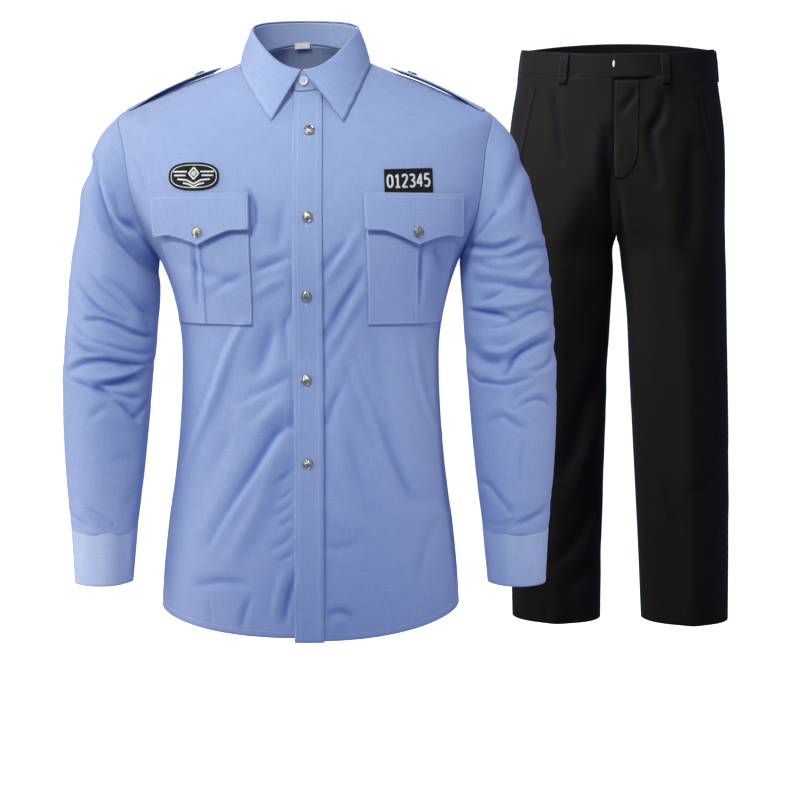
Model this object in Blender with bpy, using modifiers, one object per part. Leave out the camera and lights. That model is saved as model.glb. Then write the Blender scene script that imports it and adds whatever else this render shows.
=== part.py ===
"""Uniform set: a long-sleeved guard-style shirt in front of a pair of pleated trousers.

Both garments are filled out with no wearer in them.  Metres, +X to the viewer's right,
-Y towards the viewer, +Z up.  The origin is the middle of the shirt's neck base, level
with the shoulders, where the wearer's shoulders carry the shirt.  "right" and "left" in
the names are the wearer's, so right is at -X.
"""
import bmesh
import bpy
import numpy as np
from mathutils import Matrix, Vector

MM = 0.001

# ---------------------------------------------------------------- driving sizes, in mm
SHIRT_WALL = 1.2          # solid wall that stands for the shirt cloth
TROUSER_WALL = 1.5
SEAM = 0.6                # gap left between two pieces at a seam
LAY = 0.65                # gap under a piece that lies on another
RISE = 1.5                # how fast a ring climbs from its side to its front or back

# The shirt hangs a little askew: height, and how far it sits to the viewer's right there.
LEAN = ((-692, 1.0), (-560, 1.6), (-400, 2.6), (-290, 3.2), (-130, -0.5), (-70, -1.5),
        (0, -1.8), (40, -2.6))

# Rings of the shirt body, hem to neck seam: half width and height at the side, depth and
# height at the front, depth and height at the back, squareness (2 is an ellipse).
BODY_RINGS = (
    (193.0, -692, 118, -715, 118, -738, 2.3),     # hem, a shirt-tail curve
    (190.0, -648, 117, -656, 117, -664, 2.3),
    (183.0, -584, 114, -588, 114, -590, 2.3),
    (174.0, -521, 110, -522, 109, -523, 2.35),
    (168.0, -459, 107, -459, 104, -459, 2.4),
    (164.5, -397, 106, -397, 101, -397, 2.4),     # waist
    (165.0, -350, 109, -350, 103, -350, 2.4),
    (172.0, -304, 117, -304, 110, -304, 2.4),
    (180.5, -273, 123, -275, 116, -272, 2.4),
    (190.6, -248, 127, -253, 120, -246, 2.4),     # armpit
    (208.0, -220, 129, -229, 122, -216, 2.4),
    (226.0, -188, 129, -202, 123, -180, 2.4),
    (238.0, -146, 126, -168, 122, -134, 2.4),
    (242.0, -108, 120, -139, 117, -92, 2.3),
    (235.0, -66, 111, -108, 107, -49, 2.15),      # shoulder tip
    (222.0, -59, 109, -101, 104, -41, 2.1),
    (190.0, -46, 104, -89, 97, -26, 2.1),
    (150.0, -28, 98, -75, 87, -9, 2.0),
    (105.0, -11.5, 90, -59, 74, 10, 2.0),
    (66.0, 4, 82, -44, 62, 26, 2.0),              # neck seam
)
SHOULDER_TIP, NECK = -66.0, 4.0                   # side heights of those two rings
ARMHOLE_MIDDLE, ARMHOLE_HALF, ARMHOLE_DEPTH = -157.2, 90.8, 62.0
YOKE_BACK = -108.0                                # side height of the yoke's back seam
SHOULDER_SEAM_AT_NECK = 74.0                      # degrees from the centre front
PANEL_LEVELS = (-692, -640, -588, -536, -484, -436, -394, -352, -318, -290, -266, -248.3,
                -246, -240, -230, -215, -196, -170, -140, -112, -88, -75, -69, -66.3,
                -60, -48, -33, -16, 4)

PLACKET_LEFT, PLACKET_RIGHT = -13.5, 23.5         # its edges, seen from the front
PLACKET_DROP, LEFT_DROP = 4.0, 3.0                # it and the left front hang lower
FRONT_LINE = 4.5                                  # line that the pockets are set out from
UNDERLAP = 18.0                                   # where the two fronts meet below it
METAL_BUTTON, PLASTIC_BUTTON, BUTTON_THICK = 13.5, 11.5, 3.0
FRONT_BUTTONS = ((7.0, -92.3), (5.7, -195.7), (3.4, -290.4), (2.2, -394.2), (3.3, -497.5))

POCKET_INNER, POCKET_WIDTH = 70.5, 125.0          # measured round the chest
POCKET_TOP, POCKET_BOTTOM = -174.0, -327.0
FLAP_TOP, FLAP_OVER = -167.0, 1.5                 # the flap is a little wider
FLAP_DROPS = ((-1.0, 44), (-0.62, 44.5), (-0.3, 52), (0.0, 61), (0.3, 53.5),
              (0.62, 48.5), (1.0, 51))            # inner corner, point, outer corner
PLEAT_STEP = 0.9
BADGE_AT, BADGE_SIZE = (-132.0, -147.0), (62.0, 33.0)
TAB_AT, TAB_SIZE, TAB_TILT = (127.0, -152.3), (58.0, 29.0), 2.0

# Fold line of the collar, and how far the leaf laps below the neck seam at an angle.
FOLD_SIDE, FOLD_FRONT, FOLD_BACK = (66.0, 36.0), (80.0, -18.5), (57.0, 55.0)
FOLD_RISE_FRONT, FOLD_RISE_BACK = 2.0, 0.6
LEAF_EDGE = ((43.0, -81.0), (62.0, -55.0), (80.0, -30.0))    # seen in front, from the point
LEAF_SHIFT = 6.0                                  # the points lean to the viewer's right
LEAF_LAPS = ((90, 20), (130, 17), (180, 16))
STAND_WALL, LEAF_WALL = 1.4, 1.4
LABEL_AT, LABEL_WIDE = -8.0, 20.0

# Sleeve, from armhole to cuff seam: outer point, inner point, half depth, middle y.
SLEEVE_RINGS = (
    (235.3, -66.8, 190.9, -247.6, 62, 0),
    (257.5, -91.0, 191.2, -251.0, 66, -1),
    (271.5, -122.0, 191.8, -255.5, 69, -3),
    (285.5, -166.5, 193.0, -265.0, 71, -5),
    (298.5, -216.0, 194.5, -284.0, 70, -7),
    (306.5, -260.0, 196.5, -310.0, 68, -9),
    (311.0, -310.0, 199.0, -345.0, 65, -12),
    (315.0, -372.0, 202.5, -392.0, 62, -16),
    (316.0, -440.0, 206.5, -448.0, 58, -21),
    (312.5, -522.0, 214.0, -524.0, 52, -27),
    (306.5, -588.0, 222.5, -590.0, 45, -31),
)
SLEEVE_SHIFT = {                                  # height, and how far it hangs to +X
    "right": ((-66, 0), (-100, -2), (-150, 0), (-230, 5), (-310, 5.5), (-380, 3.5), (-590, 3)),
    "left": ((-66, 0), (-260, 0.5)),
}
SLEEVE_STEPS, SLEEVE_SIDES = 25, 16
CUFF_TOP = (306.5, 222.0, -590.6, 44.0, -31.0)    # outer x, inner x, z, half depth, y
CUFF_END = (303.5, 229.0, -660.0, 40.0, -31.0)
CUFF_LAP = 36.0                                   # degrees of overlap
EPAULETTE_OUT, EPAULETTE_IN = 226.0, 106.0        # distance of its ends from the middle
EPAULETTE_HALF, EPAULETTE_LIFT = 23.0, 3.5

# Trousers: place, turn to the viewer, rings of one leg.  Heights at side, front, back,
# middle of the leg, half width, front depth, back depth.
TROUSERS_AT, TROUSERS_TURN = (463.0, 560.0), -10.0
LEFT_NARROW, WAIST_ROLL = 0.978, 0.014            # the left side is narrower and lower
HIP_RINGS = (
    (33.5, 18, 55, 0, 157.5, 113, 122),           # waistband seam
    (8, -3, 24, 0, 161, 114, 127),
    (-22, -29, -12, 4, 162, 115, 132),
    (-60, -63, -55, 15, 156, 116, 137),
    (-110, -111, -108, 38, 135.5, 114, 138),
    (-165, -165, -165, 61, 113.5, 109, 134),
    (-205, -205, -205, 77, 98, 104, 129),
    (-228, -228, -228, 86.5, 89.5, 100, 123),
    (-238, -238, -238, 89.5, 86.8, 98, 120),      # crotch
)
LEFT_LEG_RINGS = ((-280, 94.5, 84, 92, 108), (-330, 98.7, 81.5, 85, 96),
                  (-427, 103.7, 80, 76, 82), (-525, 108.5, 78.6, 71, 74),
                  (-623, 112.8, 76.4, 69, 70), (-722, 117, 74.3, 67, 68),
                  (-841, 121, 71.7, 65, 66))
RIGHT_LEG_RINGS = ((-280, 90, 85.5, 92, 108), (-330, 90.6, 84, 85, 96),
                   (-427, 91.8, 80.6, 76, 82), (-525, 91.8, 78.6, 71, 74),
                   (-623, 91.5, 76.4, 69, 70), (-722, 91.4, 74, 67, 68),
                   (-846, 89.7, 72.4, 65, 66))
TROUSER_LEVELS = (33.2, 10, -16, -48, -85, -125, -165, -200, -220, -232, -238, -250,
                  -285, -345, -430, -525, -630, -735)    # and the hem
TROUSER_SQUARE = 2.1
CREASE, CREASE_WIDTH = 6.0, 13.0                  # pressed crease: height, degrees wide
CREASE_AT = {"right": 4.0, "left": 12.0}          # degrees from the front of the leg
PLEAT_AT, PLEAT_HIGH, PLEAT_LONG = 78.0, 3.2, 130.0
WAISTBAND_HIGH = 34.0
LOOP_WIDE, LOOP_STAND = 11.0, 2.4
LOOP_ANGLES = {"front_right": -28.5, "front_left": 28.5, "side_right": -96.0,
               "side_left": 96.0, "back": 180.0}
FLY_WIDE, FLY_END = 36.0, -138.0
POCKET_SLANT = ((131.0, 12.0), (160.0, -135.0))   # distance from the middle, height

# The largest folds, as ridges seen from the front: points (x, z), half width, height.
BODY_FOLDS = (
    (((-24, -460), (-62, -515), (-95, -552), (-118, -600)), 13, 3.0),
    (((-30, -380), (-70, -432), (-104, -470)), 14, 2.0),
    (((88, -470), (110, -528), (132, -575)), 15, 2.4),
    (((150, -262), (140, -300), (150, -345)), 12, 1.8),
)
SLEEVE_FOLDS = {
    "right": (
        (((-270, -140), (-262, -172), (-246, -205), (-222, -232), (-203, -246)), 10, 4.5),
        (((-292, -282), (-268, -308), (-240, -322)), 9, 4.0),
        (((-300, -338), (-262, -352), (-212, -362)), 9, 3.6),
        (((-262, -430), (-235, -448), (-222, -455)), 9, 3.0),
        (((-300, -575), (-282, -566), (-262, -580)), 9, 2.2),
    ),
    "left": (
        (((212, -232), (232, -205), (252, -178), (262, -150)), 10, 4.0),
        (((215, -262), (255, -245), (292, -232)), 9, 4.0),
        (((214, -300), (255, -296), (302, -282)), 9, 4.0),
        (((216, -345), (260, -338), (306, -330)), 9, 4.0),
        (((222, -392), (262, -384), (308, -380)), 9, 3.2),
        (((236, -560), (268, -548), (300, -552)), 9, 2.2),
    ),
}

# ---------------------------------------------------------------- colours: rgb, rough, metal
SHIRT_BLUE = ((0.33, 0.43, 0.76), 0.75, 0.0)
CUFF_BLUE = ((0.38, 0.47, 0.78), 0.75, 0.0)
TROUSER_BLACK = ((0.02, 0.02, 0.023), 0.8, 0.0)
SILVER_GOLD = ((0.66, 0.62, 0.5), 0.3, 1.0)
SILVER = ((0.72, 0.73, 0.75), 0.25, 1.0)
WHITE_PLASTIC = ((0.85, 0.87, 0.92), 0.35, 0.0)
LABEL_WHITE = ((0.9, 0.9, 0.9), 0.8, 0.0)
PATCH_BLACK = ((0.012, 0.012, 0.014), 0.85, 0.0)


# ---------------------------------------------------------------- scene and mesh helpers
def new_collection(name):
    collection = bpy.data.collections.new(name)
    bpy.context.scene.collection.children.link(collection)
    return collection


def new_material(name, look):
    colour, rough, metal = look
    material = bpy.data.materials.new(name)
    material.use_nodes = True
    shader = material.node_tree.nodes["Principled BSDF"]
    shader.inputs["Base Color"].default_value = (*colour, 1.0)
    shader.inputs["Roughness"].default_value = rough
    shader.inputs["Metallic"].default_value = metal
    return material


def new_object(name, mesh, look):
    mesh.materials.append(new_material(name + "_material", look))
    obj = bpy.data.objects.new(name, mesh)
    MODEL.objects.link(obj)
    return obj


def sheet(name, points, look, wall, closed=False):
    """Cloth: a grid of points in mm, rows upwards, columns so that normals face out."""
    points = np.asarray(points) * MM
    rows, columns = points.shape[:2]
    faces = []
    for row in range(rows - 1):
        for column in range(columns if closed else columns - 1):
            after = (column + 1) % columns
            faces.append((row * columns + column, row * columns + after,
                          (row + 1) * columns + after, (row + 1) * columns + column))
    mesh = bpy.data.meshes.new(name)
    mesh.from_pydata(points.reshape(-1, 3).tolist(), [], faces)
    obj = new_object(name, mesh, look)
    solid = obj.modifiers.new("wall", "SOLIDIFY")
    solid.thickness = wall * MM
    solid.offset = -1.0
    return obj


def disc(name, centre, axis, across, thick, look, sides=12):
    """A button: a low truncated cone whose back is at centre, facing along axis."""
    mesh = bpy.data.meshes.new(name)
    body = bmesh.new()
    turn = Vector(axis).to_track_quat("Z", "Y").to_matrix().to_4x4()
    place = Matrix.Translation(Vector(centre) * MM) @ turn
    lift = Matrix.Translation((0, 0, thick / 2 * MM))
    bmesh.ops.create_cone(body, cap_ends=True, segments=sides, radius1=across / 2 * MM,
                          radius2=across * 0.38 * MM, depth=thick * MM, matrix=place @ lift)
    body.to_mesh(mesh)
    body.free()
    return new_object(name, mesh, look)


def spline(at, knots, values):
    """Smooth curve through values at uneven knots; goes on straight past the ends."""
    knots, values = np.asarray(knots, float), np.asarray(values, float)
    slopes = np.gradient(values, knots, axis=0)
    at = np.asarray(at, float)
    inside = np.clip(at, knots[0], knots[-1])
    i = np.clip(np.searchsorted(knots, inside, side="right") - 1, 0, len(knots) - 2)
    step = knots[i + 1] - knots[i]
    t = (inside - knots[i]) / step
    past = at - inside
    if values.ndim > 1:
        step, t, past = step[..., None], t[..., None], past[..., None]
    end_slope = np.where(past > 0, slopes[-1], slopes[0])
    return ((2 * t**3 - 3 * t**2 + 1) * values[i] + (t**3 - 2 * t**2 + t) * step * slopes[i]
            + (3 * t**2 - 2 * t**3) * values[i + 1] + (t**3 - t**2) * step * slopes[i + 1]
            + past * end_slope)


def lean(height):
    return np.interp(height, *np.transpose(LEAN))


def smooth(t):
    t = np.clip(t, 0.0, 1.0)
    return t * t * (3 - 2 * t)


def power(value, exponent):
    return np.sign(value) * np.abs(value) ** exponent


def ridge(points, folds):
    """Height of the folds at points: each is a rounded ridge along a line seen in front."""
    flat = np.asarray(points)[..., (0, 2)]
    height = np.zeros(flat.shape[:-1])
    for line, width, high in folds:
        line = np.array(line, float)
        best = np.full(height.shape, 1e9)
        reach = np.zeros(height.shape)
        for i in range(len(line) - 1):
            run = line[i + 1] - line[i]
            t = np.clip(((flat - line[i]) @ run) / (run @ run), 0, 1)
            far = np.linalg.norm(flat - line[i] - t[..., None] * run, axis=-1)
            reach = np.where(far < best, (i + t) / (len(line) - 1), reach)
            best = np.minimum(best, far)
        height += high * np.exp(-(best / width) ** 2) * np.sin(np.pi * (0.08 + 0.84 * reach))
    return height


def normals_of(surface, u, v, du=0.6, dv=0.01):
    """Outward normals of surface(u, v), by differences; u goes up, v goes round."""
    up = surface(u + du, v) - surface(u - du, v)
    round_ = surface(u, v + dv) - surface(u, v - dv)
    normal = np.cross(round_, up)
    return normal / np.linalg.norm(normal, axis=-1, keepdims=True)


# ---------------------------------------------------------------- the shirt body's skin
class Skin:
    """The shirt body's outer surface, by level (mm along the side) and angle from front."""

    def __init__(self, rings):
        self.rings = np.array(rings, float)
        side = self.rings[:, :2]
        steps = np.linalg.norm(np.diff(side, axis=0), axis=1)
        self.knots = np.concatenate([[0.0], np.cumsum(steps)])
        self.fine = np.linspace(0.0, self.knots[-1], 320)
        self.turn = np.radians(np.linspace(0, 180, 181))
        self.heights = spline(self.fine, self.knots, self.rings)[:, 1]
        mesh = self.point(self.fine[:, None] + 0 * self.turn, 0 * self.fine[:, None] + self.turn)
        steps = np.linalg.norm(np.diff(mesh, axis=1), axis=2)
        self.arc = np.concatenate([np.zeros((len(self.fine), 1)), np.cumsum(steps, 1)], 1)
        self.mesh = mesh

    def level(self, height):
        """Level of the ring whose side is at this height."""
        return np.interp(height, self.heights, self.fine)

    def point(self, level, angle):
        ring = spline(level, self.knots, self.rings)
        wide, side, front, front_z, back, back_z, square = np.moveaxis(ring, -1, 0)
        sine, cosine = np.sin(angle), np.cos(angle)
        x = wide * power(sine, 2 / square)
        ahead = cosine > 0
        y = np.where(ahead, -front, back) * np.abs(cosine) ** (2 / square)
        z = side + (np.where(ahead, front_z, back_z) - side) * np.abs(cosine) ** RISE
        return np.stack([x + lean(side), y, z], -1)

    def cloth(self, level, angle, out=0.0):
        """A point on the cloth with its large folds, moved out by some millimetres."""
        point = self.point(level, angle)
        normal = normals_of(self.point, level, angle)
        facing = np.clip(-1.6 * normal[..., 1], 0, 1)
        return point + normal * (out + facing * ridge(point, BODY_FOLDS))[..., None]

    def angle_of_depth(self, level, y):
        """Angle on the ring (front or back) where the cloth is y deep."""
        ring = spline(level, self.knots, self.rings)
        depth = ring[2] if y < 0 else ring[4]
        cosine = min(1.0, abs(y) / depth) ** (ring[6] / 2)
        return np.arccos(cosine if y < 0 else -cosine)

    def armhole_angle(self, level, back=False, grow=SEAM / 2):
        """Angle where the ring meets the armhole, or the side seam below it."""
        low, high = (np.pi, np.pi / 2) if back else (0.0, np.pi / 2)
        seam = self.angle_of_depth(level, SEAM / 2 if back else -SEAM / 2)

        def outside(angle):
            _, y, z = self.point(level, angle)
            across = y / (ARMHOLE_DEPTH + grow)
            return across**2 + ((z - ARMHOLE_MIDDLE) / (ARMHOLE_HALF + grow))**2 > 1
        if outside(seam):
            return seam
        for _ in range(30):
            middle = (low + high) / 2
            low, high = (middle, high) if outside(middle) else (low, middle)
        return low

    def spread(self, level, start, end, count):
        """Angles from start to end, evenly spaced round the cloth."""
        angles = np.linspace(start, end, 120)
        ring = self.point(np.full(120, level), angles)
        run = np.concatenate([[0], np.cumsum(np.linalg.norm(np.diff(ring, axis=0), axis=1))])
        return np.interp(np.linspace(0, run[-1], count), run, angles)

    def from_front(self, x, z):
        """Level and angle of the front point seen at x, z."""
        ring = spline(self.fine, self.knots, self.rings)
        share = np.clip((x - lean(ring[:, 1])) / ring[:, 0], -1, 1)
        angle = np.arcsin(power(share, ring[:, 6] / 2))
        height = self.point(self.fine, angle)[:, 2]
        level = np.interp(z, height, self.fine)
        return level, np.interp(level, self.fine, angle)

    def by_tape(self, round_, z):
        """Level and angle of the point this far round from the centre front, at height z."""
        angle = np.array([np.interp(abs(round_), run, self.turn) for run in self.arc])
        height = self.point(self.fine, angle)[:, 2]
        level = np.interp(z, height, self.fine)
        return level, np.sign(round_) * np.interp(level, self.fine, angle)

    def below_neck(self, angle, lap):
        """Level of the point this far below the neck seam, at an angle."""
        line = self.point(self.fine, np.full(len(self.fine), angle))[::-1]
        run = np.concatenate([[0], np.cumsum(np.linalg.norm(np.diff(line, axis=0), axis=1))])
        return np.interp(lap, run, self.fine[::-1])


def shirt_panel(name, levels, ends, count, out=0.0, drop=0.0):
    """A body panel: for each level, cloth from one end angle to the other."""
    rows = []
    for number, level in enumerate(levels):
        start, end = ends(level)
        angles = BODY.spread(level, start, end, count)
        lower = drop * np.cos(angles) ** 2 * (number == 0)
        rows.append(BODY.cloth(level - lower, angles, out))
    return sheet(name, rows, SHIRT_BLUE, SHIRT_WALL)


def shoulder_seam(level):
    """Angle of the seam between front and yoke: the armhole's top to beside the neck."""
    tip, neck = BODY.level(SHOULDER_TIP), BODY.level(NECK)
    share = smooth((level - tip) / (neck - tip))
    return np.radians(90.0 + (SHOULDER_SEAM_AT_NECK - 90.0) * share)


def make_body():
    tip = BODY.level(SHOULDER_TIP)
    levels = [BODY.level(z) for z in PANEL_LEVELS]
    levels[-1] -= SEAM
    middle = [BODY.from_front(UNDERLAP, BODY.point(level, 0.0)[2])[1] for level in levels]
    middle_of = dict(zip(levels, middle))

    def outer(level):
        if level < tip:
            return BODY.armhole_angle(level)
        return shoulder_seam(level) - 0.004
    shirt_panel("shirt_front_left", levels,
                lambda level: (middle_of[level] + 0.003, outer(level)), 9, drop=LEFT_DROP)
    shirt_panel("shirt_front_right", levels,
                lambda level: (-outer(level), middle_of[level] - 0.003), 10)

    def back_side(level):
        return BODY.armhole_angle(level, back=True)
    seam = BODY.level(YOKE_BACK)
    low = [level for level in levels if level < seam - 4] + [seam - SEAM / 2]
    shirt_panel("shirt_back", low,
                lambda level: (back_side(level), 2 * np.pi - back_side(level)), 15)
    high = [seam + SEAM / 2] + [level for level in levels if level > seam + 4]

    def yoke_side(level):
        return back_side(level) if level < tip else shoulder_seam(level) + 0.004
    shirt_panel("shirt_yoke", high,
                lambda level: (yoke_side(level), 2 * np.pi - yoke_side(level)), 17)


def make_placket():
    levels = [BODY.level(z) for z in PANEL_LEVELS if z > -690]
    levels = [BODY.level(-692) - PLACKET_DROP] + levels
    levels[-1] -= 2.4
    out = LAY + SHIRT_WALL

    def ends(level):
        z = BODY.point(max(level, 0.0), 0.0)[2]
        return (BODY.from_front(PLACKET_LEFT, z)[1], BODY.from_front(PLACKET_RIGHT, z)[1])
    shirt_panel("shirt_placket", levels, ends, 4, out=out)


def on_front(x, z, out):
    """A place on the front: where it is and which way it faces."""
    level, angle = BODY.from_front(x, z)
    return BODY.cloth(level, angle, out), normals_of(BODY.point, level, angle)


def make_front_buttons():
    out = LAY + SHIRT_WALL + 0.4
    for number, (x, z) in enumerate(FRONT_BUTTONS, 1):
        place, facing = on_front(x, z, out)
        disc(f"front_button_{number}", place, facing, METAL_BUTTON, BUTTON_THICK, SILVER_GOLD)


# ---------------------------------------------------------------- pockets and patches
def tape_sheet(name, side, columns, heights, out, look=SHIRT_BLUE):
    """A piece set out by tape on the chest; columns run from the inner edge outwards."""
    rows = []
    for z_of in heights:
        line = []
        for column, round_ in enumerate(columns):
            level, angle = BODY.by_tape(FRONT_LINE + side * round_, z_of(column))
            line.append(BODY.cloth(level, angle, out[column]))
        rows.append(line if side > 0 else line[::-1])
    return sheet(name, rows, look, SHIRT_WALL)


def make_pocket(name, side):
    base = LAY + SHIRT_WALL + 0.35
    middle = POCKET_INNER + POCKET_WIDTH / 2
    outer = POCKET_INNER + POCKET_WIDTH
    columns = [*np.linspace(POCKET_INNER, middle - 2, 4), middle, middle + 2.2,
               *np.linspace(middle + 18, outer, 4)]
    out = [base + (PLEAT_STEP if column == middle else 0.0) for column in columns]
    steps = np.linspace(POCKET_BOTTOM, POCKET_TOP, 7)
    tape_sheet("pocket_" + name, side, columns, [lambda _, z=z: z for z in steps], out)

    base += LAY + SHIRT_WALL
    shares = np.linspace(-1, 1, 11)
    drop = np.interp(shares, *np.transpose(FLAP_DROPS))
    columns = middle + shares * (POCKET_WIDTH / 2 + FLAP_OVER)
    out = base + 0 * shares + PLEAT_STEP
    heights = [lambda i, t=t: FLAP_TOP - drop[i] * (1 - t) for t in np.linspace(0, 1, 5)]
    tape_sheet("flap_" + name, side, columns, heights, out)

    level, angle = BODY.by_tape(FRONT_LINE + side * middle, FLAP_TOP - 46)
    disc("pocket_button_" + name, BODY.cloth(level, angle, out[0] + 0.4),
         normals_of(BODY.point, level, angle), METAL_BUTTON, BUTTON_THICK, SILVER_GOLD)


def make_patch(name, at, size, square, tilt=0.0, look=PATCH_BLACK):
    """A patch sewn on the chest, outlined by a superellipse of some squareness."""
    rows = []
    tilt = np.radians(tilt)
    for v in np.linspace(-1, 1, 7 if square < 9 else 3):
        half = max(1 - abs(v) ** square, 0.0) ** (1 / square)
        line = []
        for u in np.linspace(-1, 1, 6) * max(half, 0.35 if square < 9 else 1.0):
            x, z = u * size[0] / 2, v * size[1] / 2
            x, z = x * np.cos(tilt) - z * np.sin(tilt), x * np.sin(tilt) + z * np.cos(tilt)
            level, angle = BODY.from_front(at[0] + x, at[1] + z)
            line.append(BODY.cloth(level, angle, LAY + SHIRT_WALL))
        rows.append(line)
    return sheet(name, rows, look, SHIRT_WALL)


# ---------------------------------------------------------------- collar
def fold_ring(angle):
    """The collar's fold line, round the top of the stand."""
    angle = np.asarray(angle, float)
    sine, cosine = np.sin(angle), np.cos(angle)
    end = np.where(cosine > 0, FOLD_FRONT[0], FOLD_BACK[0])
    end_z = np.where(cosine > 0, FOLD_FRONT[1], FOLD_BACK[1])
    rise = np.where(cosine > 0, FOLD_RISE_FRONT, FOLD_RISE_BACK)
    z = FOLD_SIDE[1] + (end_z - FOLD_SIDE[1]) * np.abs(cosine) ** rise
    y = np.where(cosine > 0, -end, end) * np.abs(cosine)
    return np.stack([FOLD_SIDE[0] * sine + lean(z), y, z], -1)


def stand_point(height, angle):
    """The stand's outer face: height 0 at the neck seam, 1 at the fold."""
    foot = BODY.point(np.full(np.shape(angle), BODY.knots[-1]), angle)
    share = np.asarray(height, float)[..., None]
    return foot + (fold_ring(angle) - foot) * share


def lapped(surface, rows, start, end, full_until, flat_from, count, lift):
    """A band whose first end lies over its last: rows of points, lifted where it laps."""
    angles = np.radians(np.concatenate([np.linspace(start, full_until, 4)[:-1],
                                        np.linspace(full_until, end, count - 3)]))
    climb = lift * (1 - smooth((angles - np.radians(full_until))
                               / np.radians(flat_from - full_until)))
    grid = []
    for row in rows:
        at = np.full(len(angles), row)
        normal = normals_of(surface, at, angles, du=0.02)
        grid.append(surface(at, angles) + normal * climb[:, None])
    return grid


def make_collar():
    lift = STAND_WALL + LAY
    grid = lapped(stand_point, (0.02, 0.35, 0.7, 0.985), -369.5, 13, -346, -300, 30, lift)
    sheet("collar_stand", grid, SHIRT_BLUE, STAND_WALL)
    place = stand_point(0.5, np.radians(1.2))
    facing = normals_of(stand_point, 0.5, np.radians(1.2), du=0.02)
    disc("collar_button", place + facing * (lift + 0.4), facing, PLASTIC_BUTTON, 2.6,
         WHITE_PLASTIC)
    make_leaf(lift)
    make_label()


def make_leaf(lift):
    """The turned-down leaf: over the fold and down onto the body, point to point."""
    front = [BODY.from_front(x + lean(z), z) for x, z in LEAF_EDGE]
    rear = [(BODY.below_neck(np.radians(a), lap), np.radians(a)) for a, lap in LEAF_LAPS]
    edge_levels, edge_angles = np.transpose(front + rear)
    steps = np.array([0.0, 0.05, 0.12, 0.2, 0.29, 0.38, 0.47, 0.56, 0.66, 0.77, 0.88, 1.0])
    angles = np.interp(steps, (0, 0.18, 0.34, 0.5, 0.72, 1.0), edge_angles)
    levels = np.interp(angles, edge_angles, edge_levels)
    up = np.array([0, 0, 1.0])
    halves = []
    for side in (1, -1):
        edge = BODY.cloth(levels, side * angles, 3.4)
        around = side * np.radians(1.0 + 179.0 * steps)
        fold = stand_point(np.ones(len(steps)), around)
        out = normals_of(stand_point, 0.9 + 0 * steps, around, du=0.02)
        top = fold + up * 1.9 - out * 0.5
        clear = lift * (1 - smooth((np.degrees(np.abs(around)) - 14) / 46)) + LEAF_WALL + 0.8
        roll = fold + up * 1.2 + out * clear[:, None]
        rows = [top + (roll - top) * row + up * np.sin(np.pi * row) * 0.8
                for row in (0.0, 0.5, 1.0)]
        rows += [roll + (edge - roll) * row + out * 1.5 * np.sin(np.pi * row)
                 for row in (0.22, 0.5, 0.78, 1.0)]
        halves.append(np.array(rows[::-1]))
    whole = np.concatenate([halves[0], halves[1][:, -2::-1]], 1)
    sinking = np.clip((FOLD_FRONT[1] - whole[..., 2]) / 60, 0, 1) * (whole[..., 1] < 0)
    whole[..., 0] += LEAF_SHIFT * sinking
    sheet("collar_fall", whole, SHIRT_BLUE, LEAF_WALL)


def make_label():
    """The blank neck label, inside the back of the neck."""
    rows = []
    for share in (-0.14, 0.0, 0.12):
        line = []
        for x in np.linspace(LABEL_WIDE / 2, -LABEL_WIDE / 2, 4):
            angle = np.pi - np.arcsin((LABEL_AT + x) / 66.0)
            point = stand_point(share, angle)
            normal = normals_of(stand_point, share, angle, du=0.02)
            line.append(point - normal * (STAND_WALL + LAY))
        rows.append(line)
    sheet("neck_label", rows, LABEL_WHITE, 1.0)


# ---------------------------------------------------------------- sleeves and cuffs
def armhole_ring(angles, side):
    """Points of one armhole on the body, angle 0 at the top and 90 in front."""
    ring = []
    half, depth = ARMHOLE_HALF - SEAM / 2, ARMHOLE_DEPTH - SEAM / 2
    fine = BODY.fine
    for angle in angles:
        y, z = -depth * np.sin(angle), ARMHOLE_MIDDLE + half * np.cos(angle)
        around = np.array([BODY.angle_of_depth(level, y if abs(y) > 0.01 else -0.01)
                           for level in fine[::4]])
        points = BODY.point(fine[::4], side * around)
        level = np.interp(z, points[:, 2], fine[::4])
        ring.append(BODY.point(level, side * np.interp(level, fine[::4], around)))
    return np.array(ring) * np.array([side, 1, 1])


def sleeve_shift(name, height):
    heights, shifts = np.transpose(SLEEVE_SHIFT[name])
    return np.interp(height, heights[::-1], shifts[::-1])


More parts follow.
